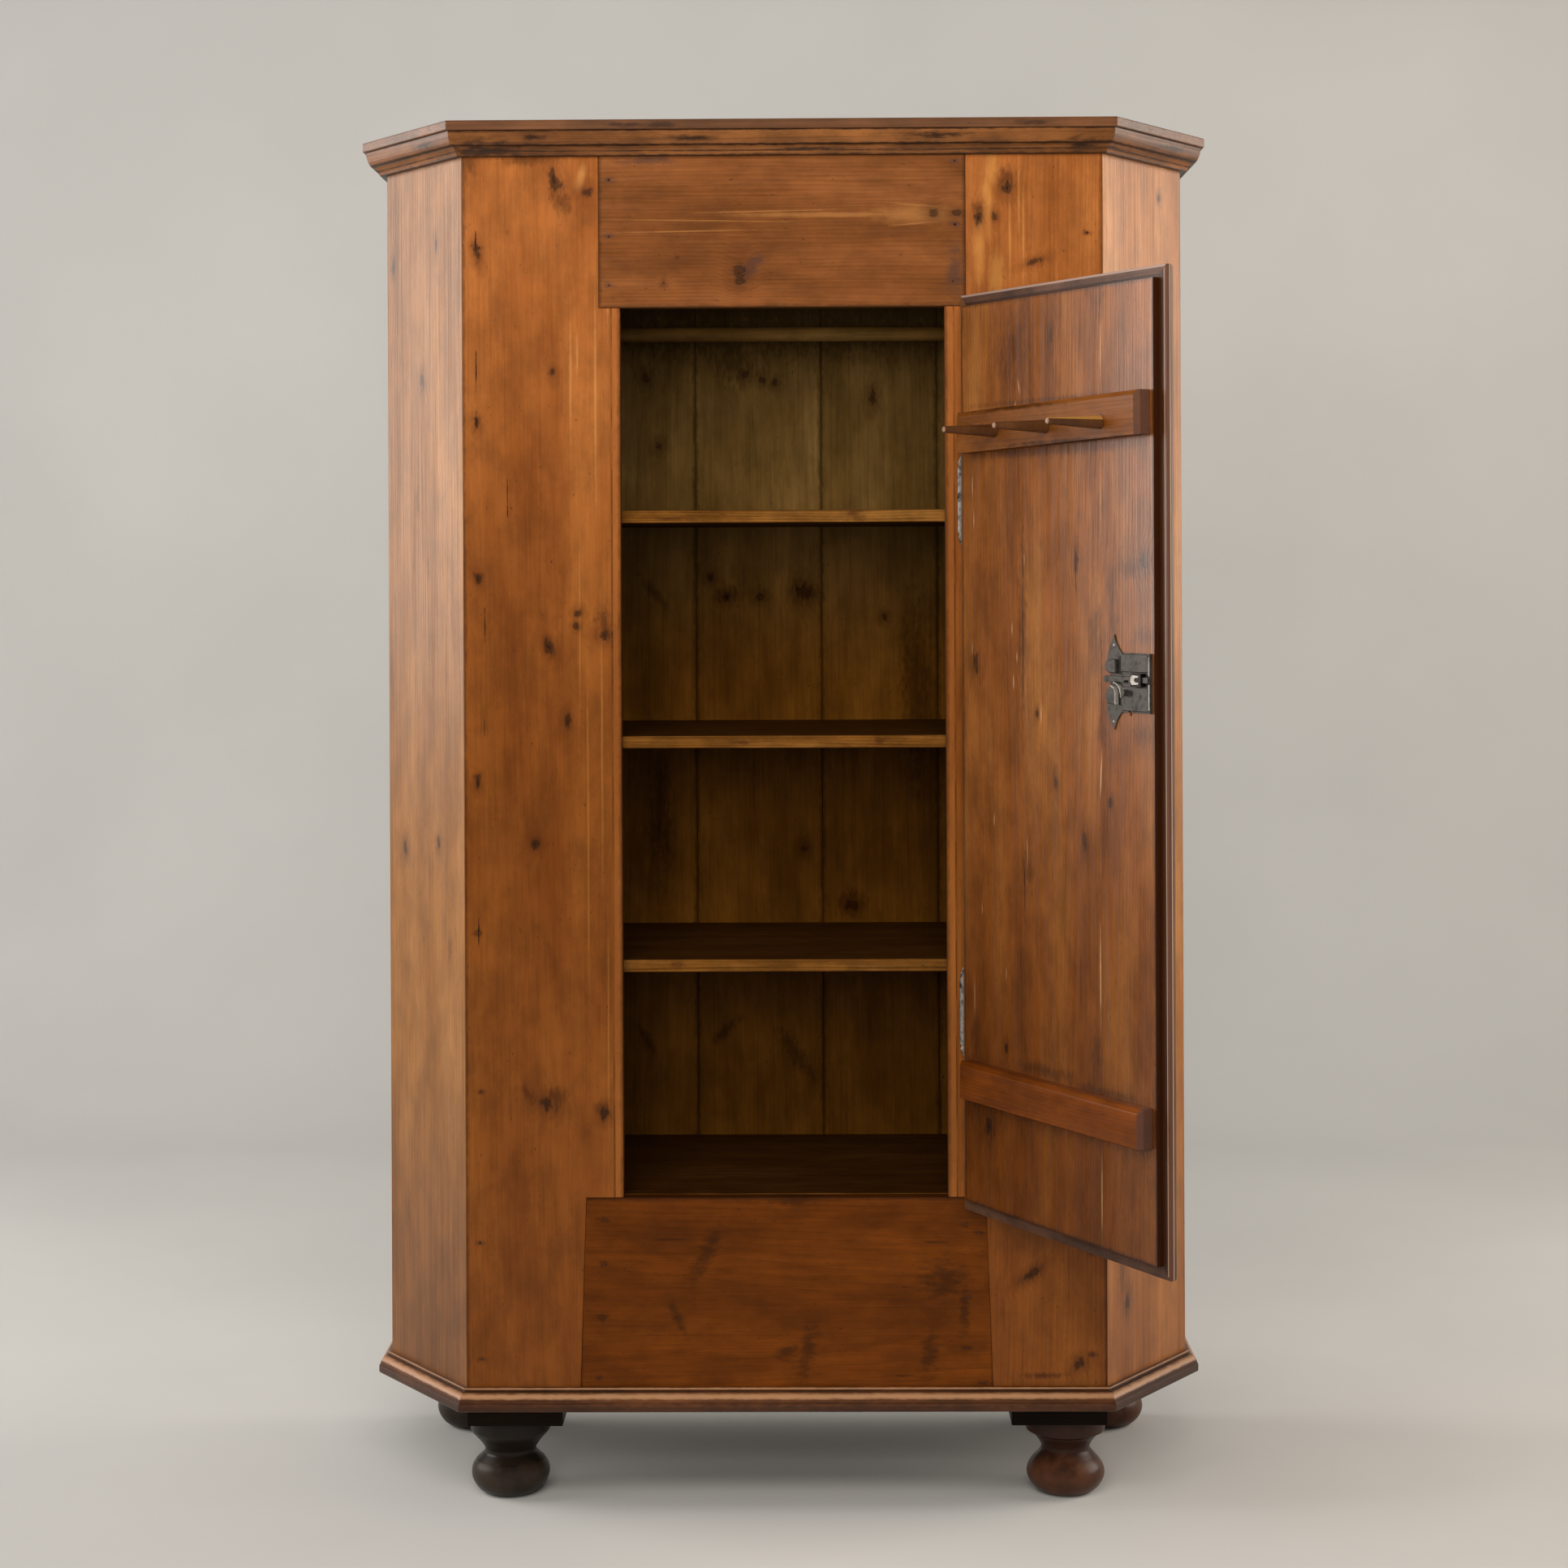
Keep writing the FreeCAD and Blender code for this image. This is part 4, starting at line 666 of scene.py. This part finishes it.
backPine = pineMaterial(
    "barePineBack", **bareWood, heart=60.0, ringShare=0.1, streakShare=0.16,
    # painted shade darkens the back below 1440 mm
    pale="#88693A", mid="#71552A", dark="#5A421C", patina=(1060.0, 1440.0, "#E0BC7C"),
    knots=[
        (-208, 1539, 7, 8), (-60, 1542, 5, 9), (-34, 1535, 6, 6), (-16, 1530, 5, 6), (129, 1507, 6, 12),
        (-188, 1437, 6, 7), (-113, 1241, 6, 7), (-89, 1213, 9, 7), (-41, 1213, 7, 6), (25, 1219, 12, 12),
        (145, 1182, 5, 6), (23, 839, 6, 7), (95, 755, 9, 9)],
    stains=[(middle.x + half.x, 1000, 5, endless) for middle, half in backSeams] + [
        (-95, 567, 9, 34, 45), (10, 535, 13, 56, -35), (-211, 556, 8, 30, -30), (-196, 1218, 9, 36, -40),
        (-89, 1216, 20, 16), (27, 1222, 24, 20), (95, 758, 22, 22), (-75, 1560, 40, 40), (190, 1080, 26, 160),
        # the wide dark band right across at 1640 mm is a painted shadow of the top rail on the back
        (-190, 880, 22, 120), (0, 1640, endless, 84)],
    stain="#1E1204", stainShare=0.55, bands=[((0.0, 225.0, 1000.0), (600.0, 3.0, 1000.0), "#6E5436", 0.45)])
shelfMiddle, shelfHalf = boxOf("shelf_lower", "shelf_upper")
allButEdge = shelfHalf + Vector((noLimit, -0.5, noLimit))  # painted shade on the shelves' tops and undersides, which the light reaches only at a grazing angle; their front edges are left pale
shelfPine = pineMaterial(
    "barePineShelves", **bareWood, grain="level", heart=1000.0, ring=4.0,
    ringShare=0.4, streakShare=0.45, cloudShare=0.46, pale="#9A6A32", mid="#82531F", dark="#6A4113",
    bands=[(shelfMiddle, allButEdge, "#2A1505", 0.82)],
    stains=[(95, 1325, 16, 9), (-150, 1322, 34, 3), (-60, 1021, 30, 4), (130, 1023, 14, 8), (-150, 723, 16, 8)])
railPine = pineMaterial(
    "barePineRail", grain="level", heart=1575.0, ring=4.0, roughness=0.5, specular=0.15, cloudShare=0.4,
    pale="#8C6A36", mid="#705024", dark="#563A16", line="#38220B")
topPine = pineMaterial(
    "stainedPineTop", grain="level", heart=1860.0, ring=6.0,
    pale="#87552E", mid="#6E4526", dark="#563418", line="#371E0B",
    stains=[(-158, 1842.5, 26, 5), (-205, 1843, 40, 4), (330, 1842.5, 30, 5)], stain="#23130B", stainShare=0.7)
# the pads are painted near black: painted shade under the base moulding
padPine = pineMaterial(
    "blackenedPinePads", grain="level", specular=0.05, pale="#1C130C", mid="#140D08", dark="#0E0905", line="#080403")
blackFoot = stainedTurnery("ebonisedTurneryBlack", "#1C1510", "#33281F", 0.4)
brownFoot = stainedTurnery("ebonisedTurneryBrown", "#301B12", "#52311F", 0.36)
darkIron = ironMaterial("forgedIronDark", "#242120", "#45413E", 0.5)
# near-black iron for the sheets of painted shade in the lock's recesses
oiledIron = ironMaterial("forgedIronOiled", "#0C0A09", "#1A1614", 0.55, 0.4)
hingeIron = ironMaterial("forgedIronWornHinges", "#36322E", "#A8A29A", 0.36, 0.6)
rustedIron = ironMaterial("forgedIronRusted", "#2A120A", "#43200F", 0.7, 0.0)
lockIron = ironMaterial("forgedIronRubbed", "#383532", "#524E4A", 0.45, 0.55)
brightIron = ironMaterial("forgedIronBright", "#7A766F", "#B4B0A8", 0.34, 0.5)
print("materials made")

# how the pieces are worked: angles in degrees, lengths in millimetres
handWork = {
    "roundOver": 38.0, "smoothRound": 38.0, "smoothFlat": 25.0, "smoothTurned": 40.0,
    "mergeWithin": 0.005, "flatWithin": 0.4, "boardStep": 0.37,
    "swell": 0.35,  # boards of the back swell sideways until their edges meet
    "selvedge": 4.4,  # the lock plate's turned-up edge is worn down to this height above the boards
}


def copyNode(name):
    # a merged copy of a solid's faces, with flat faces made whole
    mesh = frame["nodes"][name].data.copy()
    faces = bmesh.new()
    faces.from_mesh(mesh)
    bmesh.ops.remove_doubles(faces, verts=faces.verts, dist=handWork["mergeWithin"] * mm)
    bmesh.ops.dissolve_limit(
        faces, angle_limit=math.radians(handWork["flatWithin"]), verts=faces.verts, edges=faces.edges)
    faces.to_mesh(mesh)
    faces.free()
    mesh.materials.clear()
    return mesh


def addPiece(name, mesh, material, body, replaced=()):
    piece = newObject(name, mesh)
    mesh.materials.clear()
    mesh.materials.append(material)
    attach(piece, body)
    if replaced:
        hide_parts(*replaced)


def closeFaces(faces, mesh):
    # new faces become a mesh, all of them pointing outwards
    bmesh.ops.recalc_face_normals(faces, faces=faces.faces)
    faces.to_mesh(mesh)
    faces.free()
    return mesh


def shadeSmooth(mesh, under):
    mesh.polygons.foreach_set("use_smooth", [True] * len(mesh.polygons))
    mesh.set_sharp_from_angle(angle=math.radians(under))


def bakeModifiers(holder):
    # the finished mesh of an object with modifiers, which is then removed
    depsgraph = bpy.context.evaluated_depsgraph_get()
    mesh = bpy.data.meshes.new_from_object(holder.evaluated_get(depsgraph))
    bpy.data.objects.remove(holder)
    return mesh


def roundEdges(name, mesh, rounding, smoothUnder):
    # the mesh with its edges rounded by hand tools and its flat faces kept flat
    shadeSmooth(mesh, smoothUnder)
    holder = newObject(name + "_holder", mesh)
    bevel = holder.modifiers.new("rounding", "BEVEL")
    bevel.width = rounding * mm
    bevel.segments = 2
    bevel.limit_method = "ANGLE"
    bevel.angle_limit = math.radians(handWork["roundOver"])
    bevel.use_clamp_overlap = True
    bevel.harden_normals = True
    mesh = bakeModifiers(holder)
    mesh.name = name
    return mesh


def wearSelvedge(mesh):
    # the lock plate's turned-up edge, filed and worn down beside the bolt as the photograph shows it
    faces = bmesh.new()
    faces.from_mesh(mesh)
    cut = bmesh.ops.bisect_plane(
        faces, geom=[*faces.verts, *faces.edges, *faces.faces],
        plane_co=onDoorFace(0.0, 0.0, handWork["selvedge"]), plane_no=doorFacing, clear_outer=True)
    rim = [edge for edge in cut["geom_cut"] if isinstance(edge, bmesh.types.BMEdge)]
    bmesh.ops.edgenet_fill(faces, edges=rim)
    closeFaces(faces, mesh)


def dressNode(name, material, rounding, smoothUnder, boardValue, swell=0.0):
    # a solid with rounded edges, which takes the place of its node
    mesh = copyNode(name)
    if name == "lock_plate":
        wearSelvedge(mesh)
    if swell:
        middle = sum((v.co.x for v in mesh.vertices)) / len(mesh.vertices)
        for vertex in mesh.vertices:
            vertex.co.x += math.copysign(swell * mm, vertex.co.x - middle)
    mesh = roundEdges(name + "_dressed", mesh, rounding, smoothUnder)
    board = mesh.attributes.new("board", "FLOAT", "POINT")
    board.data.foreach_set("value", [boardValue] * len(mesh.vertices))
    addPiece(name + "_dressed", mesh, material, bodyOf[name], (name,))


# each solid: its finish and how far its edges are rounded, in millimetres
boards = {
    "stile_left": (leftStilePine, 1.6), "stile_right": (rightStilePine, 1.6),
    "top_rail": (topRailPine, 1.2), "bottom_rail": (bottomRailPine, 1.2),
    "cant_panel_left": (cantPine["left"], 1.6), "cant_panel_right": (cantPine["right"], 1.6),
    "side_panel_left": (sidePine, 1.6), "side_panel_right": (sidePine, 1.6),
    "top_board": (topPine, 1.8), "base_board": (shelfPine, 1.2), "cupboard_floor": (shelfPine, 1.2),
    "shelf_lower": (shelfPine, 1.6), "shelf_middle": (shelfPine, 1.6), "shelf_upper": (shelfPine, 1.6),
    "shelf_cleats": (shelfPine, 1.0), "hanging_rail": (railPine, 0.8), "rail_sockets": (shelfPine, 1.0),
    "front_pads": (padPine, 1.5), "rear_pads": (padPine, 1.5),
    "door_board_wide": (doorPine, 0.9), "door_board_narrow": (doorPine, 1.4),
    "door_lip_top": (lipPine["level"], 0.8), "door_lip_bottom": (lipPine["level"], 0.8),
    "door_lip_hinge": (lipPine["upright"], 0.8), "door_lip_free": (lipPine["upright"], 0.8),
    "batten_upper": (battenPine, 1.4), "batten_lower": (battenPine, 1.4), "coat_pegs": (pegPine, 0.6),
    "hinge_frame_upper": (hingeIron, 0.4), "hinge_frame_lower": (hingeIron, 0.4),
    "hinge_door_upper": (hingeIron, 0.4), "hinge_door_lower": (hingeIron, 0.4),
    "lock_plate": (lockIron, 0.5), "bolt_staple": (darkIron, 0.5), "lock_spring": (brightIron, 0.4),
    "key_post": (lockIron, 0.5), "key_escutcheon": (darkIron, 0.4), "lock_bolt": (lockIron, 0.5),
}
for number in range(1, 7):
    boards["back_board_%d" % number] = (backPine, 1.4)
for run in mouldings["runs"]:
    boards["cornice_" + run] = (mouldingPine["cornice", run], 0.7)
    boards["base_moulding_" + run] = (mouldingPine["base", run], 0.7)
roundPieces = ("coat_pegs", "hanging_rail", "hinge_")
for index, (node, (finish, rounding)) in enumerate(boards.items()):
    smoothUnder = handWork["smoothRound" if node.startswith(roundPieces) else "smoothFlat"]
    swell = handWork["swell"] if node.startswith("back_") else 0.0
    dressNode(node, finish, rounding, smoothUnder, (index * handWork["boardStep"]) % 1.0, swell)
print("boards and irons dressed", len(boards))

# turned feet: radius and height of the points that the turner's outline passes through, in millimetres
feet = {
    "sides": 72, "stepsBetween": 5,
    "left": [
        (30.0, 0.0), (38.0, 3.0), (46.0, 10.0), (51.5, 20.0), (53.0, 29.0), (51.2, 37.5), (47.6, 43.0), (46.6, 44.8),
        (44.0, 47.0), (39.5, 51.0), (35.6, 55.0), (34.6, 58.5), (35.4, 62.0), (41.5, 71.0), (50.0, 80.5), (53.6, 85.6),
        (54.0, 90.0), (54.0, 110.0)],
    "right": [
        (30.0, 0.0), (38.0, 3.0), (46.5, 10.5), (51.5, 19.5), (52.8, 27.0), (51.0, 35.0), (46.0, 43.0), (39.5, 50.0),
        (34.5, 56.0), (32.8, 60.0), (33.6, 64.0), (37.0, 70.0), (42.4, 77.0), (43.6, 79.0), (46.0, 81.0), (52.0, 83.4),
        (53.4, 85.2), (53.6, 90.0), (53.6, 110.0)],
    "finish": {"front_left": blackFoot, "front_right": brownFoot, "rear_left": blackFoot, "rear_right": brownFoot},
}


def smoothLine(points, steps):
    # points along a smooth curve through the given ones
    line = []
    last = len(points) - 1
    for i in range(last):
        before, here, there, after = (Vector(points[max(0, min(last, i + k))]) for k in (-1, 0, 1, 2))
        for step in range(steps):
            t = step / steps
            line.append(0.5 * (2 * here + (there - before) * t + (2 * before - 5 * here + 4 * there - after) * t * t
                               + (3 * here - before - 3 * there + after) * t ** 3))
    return line + [Vector(points[-1])]


def makeFoot(place):
    low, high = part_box("foot_" + place)
    centre = (Vector(low) + Vector(high)) / 2
    sides = feet["sides"]
    faces = bmesh.new()
    rings = []
    for radius, height in smoothLine(feet[place.split("_")[1]], feet["stepsBetween"]):
        ring = []
        for side in range(sides):
            a = 2 * math.pi * side / sides
            x, y = centre.x + radius * mm * math.cos(a), centre.y + radius * mm * math.sin(a)
            ring.append(faces.verts.new((x, y, height * mm)))
        rings.append(ring)
    for under, over in zip(rings, rings[1:]):
        for k in range(sides):
            faces.faces.new((under[k], under[k - sides + 1], over[k - sides + 1], over[k]))
    faces.faces.new(rings[0][::-1])
    faces.faces.new(rings[-1])
    mesh = closeFaces(faces, bpy.data.meshes.new("turnedFoot_" + place))
    shadeSmooth(mesh, handWork["smoothTurned"])
    addPiece("turnedFoot_" + place, mesh, feet["finish"][place], "carcass", ("foot_" + place,))


for place in feet["finish"]:
    makeFoot(place)
print("feet turned")


def nailTree(finish):
    tree = bpy.data.node_groups.new("nailHeads", "GeometryNodeTree")
    sockets = tree.interface
    sockets.new_socket("Geometry", in_out="INPUT", socket_type="NodeSocketGeometry")
    kinds = {"Head Radius": "NodeSocketFloat", "Head Rise": "NodeSocketFloat",
             "Head Sides": "NodeSocketInt", "Seed": "NodeSocketInt"}
    sizes = {name: sockets.new_socket(name, in_out="INPUT", socket_type=kind).identifier
             for name, kind in kinds.items()}
    sockets.new_socket("Geometry", in_out="OUTPUT", socket_type="NodeSocketGeometry")
    given = addNode(tree, "NodeGroupInput").outputs
    narrow = addNode(tree, "ShaderNodeMath", {"operation": "MULTIPLY"}, {
        0: given["Head Radius"], 1: nails["topShare"]})
    head = addNode(tree, "GeometryNodeMeshCone", {"fill_type": "NGON"}, {
        "Vertices": given["Head Sides"], "Radius Top": narrow.outputs[0],
        "Radius Bottom": given["Head Radius"], "Depth": given["Head Rise"]})
    facing = addNode(tree, "GeometryNodeInputNamedAttribute", {"data_type": "FLOAT_VECTOR"}, {"Name": "facing"})
    aim = addNode(tree, "FunctionNodeAlignRotationToVector", {"axis": "Z"}, {"Vector": facing.outputs[0]})
    small, large = nails["spread"]
    spread = addNode(tree, "FunctionNodeRandomValue", {"data_type": "FLOAT"}, {
        2: small, 3: large, "Seed": given["Seed"]})
    heads = addNode(tree, "GeometryNodeInstanceOnPoints", {}, {
        "Points": given["Geometry"], "Instance": head.outputs["Mesh"],
        "Rotation": aim.outputs[0], "Scale": spread.outputs[1]})
    real = addNode(tree, "GeometryNodeRealizeInstances", {}, {"Geometry": heads.outputs[0]})
    painted = addNode(tree, "GeometryNodeSetMaterial", {}, {"Geometry": real.outputs[0], "Material": finish})
    addNode(tree, "NodeGroupOutput", {}, {"Geometry": painted.outputs[0]})
    return tree, sizes


def driveNails(name, body, finish, facing, places):
    # one mesh of all the nail heads on a body, which all face one way
    points = bpy.data.meshes.new(name + "_spots")
    points.from_pydata(places, [], [])
    ways = points.attributes.new("facing", "FLOAT_VECTOR", "POINT")
    ways.data.foreach_set("vector", [v for _ in places for v in facing])
    holder = newObject(name + "_holder", points)
    tree, sizes = nailTree(finish)
    modifier = holder.modifiers.new("nails", "NODES")
    modifier.node_group = tree
    modifier[sizes["Head Radius"]] = nails["headRadius"] * mm
    modifier[sizes["Head Rise"]] = nails["headRise"] * mm
    modifier[sizes["Head Sides"]] = nails["sides"]
    modifier[sizes["Seed"]] = nails["seed"]
    addPiece(name, bakeModifiers(holder), finish, body)


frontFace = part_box("stile_left")[0][1]
driveNails("frameNails", "carcass", rustedIron, Vector((0, -1, 0)),
           [Vector((x * mm, frontFace, z * mm)) for x, z in nails["front"]])
driveNails("lockNails", "door", brightIron, doorFacing,
           [onDoorFace(x, z, nails["lockPlateRise"]) for x, z in nails["doorFace"]])
print("nails driven")

# what the locksmith riveted on the plate, and thin sheets of painted shade in its recesses: heights above the boards of
# each kind, in millimetres, and outlines on the shut door's inner face
lockKinds = {
    "case": {"from": 2.0, "to": 4.6, "rounding": 1.0, "finish": lockIron},
    "cheek": {"from": 2.0, "to": 6.4, "rounding": 1.2, "finish": lockIron},
    "edge": {"from": 2.0, "to": 7.4, "rounding": 0.5, "finish": brightIron},
    # the shade sheets are thin near-black plates laid in the case's recesses: painted shade
    "hollow": {"from": 1.0, "to": 2.3, "rounding": 0.1, "finish": oiledIron},
    # the rim strips are bright iron along the selvedge's corner: a painted highlight on that edge
    "rim": {"from": 2.0, "to": 5.2, "rounding": 0.5, "finish": brightIron},
    "collar": {"from": 9.4, "to": 11.2, "rounding": 0.5, "finish": brightIron},
}
lockWork = {
    "lockCaseUpper": ("case", [(-206, 1127), (-150.5, 1127), (-150.5, 1146), (-153, 1148.5), (-206, 1148.5)]),
    "lockCaseLower": ("case", [(-206, 1080), (-153, 1080), (-150.5, 1083), (-150.5, 1109), (-206, 1109)]),
    "lockCheekUpper": ("cheek", [
        (-141, 1125), (-127, 1125.5), (-120, 1129), (-118.5, 1134), (-122, 1140), (-133, 1142.5), (-141, 1142)]),
    "lockCheekLower": ("cheek", [
        (-141, 1087), (-141, 1101), (-138, 1106), (-130, 1109), (-122, 1104), (-119.5, 1096), (-123, 1088)]),
    "lockCheekEdge": ("edge", [
        (-143, 1087), (-143, 1102), (-140, 1107.5), (-132, 1110.5), (-132, 1109), (-139, 1106), (-141.4, 1101),
        (-141.4, 1087)]),
    "lockHollowUpper": ("hollow", [(-150, 1124), (-141.5, 1124), (-141.5, 1142), (-145, 1146), (-150, 1146)]),
    "lockHollowLower": ("hollow", [(-150.5, 1086), (-143.5, 1086), (-143.5, 1102), (-147, 1109), (-150.5, 1109)]),
    "lockRimUpper": ("rim", [(-209.3, 1123), (-207.6, 1123), (-207.6, 1146), (-209.3, 1146)]),
    "lockRimLower": ("rim", [(-209.3, 1082), (-207.6, 1082), (-207.6, 1113), (-209.3, 1113)]),
    "stapleCollar": ("collar", [
        (-195, 1112.5), (-182, 1112), (-179.5, 1115), (-179.5, 1121), (-182, 1124), (-195, 1123.5), (-195, 1121),
        (-188, 1120.3), (-186.5, 1118), (-188, 1115.7), (-195, 1115)]),
}


def rivetOn(name, kind, outline):
    faces = bmesh.new()
    base, top = ([faces.verts.new(onDoorFace(x, z, kind[end])) for x, z in outline] for end in ("from", "to"))
    for k in range(len(outline)):
        faces.faces.new((base[k - 1], base[k], top[k], top[k - 1]))
    faces.faces.new(base)
    faces.faces.new(top)
    mesh = closeFaces(faces, bpy.data.meshes.new(name))
    mesh = roundEdges(name, mesh, kind["rounding"], handWork["smoothFlat"])
    addPiece(name, mesh, kind["finish"], "door")


for name, (kind, outline) in lockWork.items():
    rivetOn(name, lockKinds[kind], outline)
print("lock riveted")
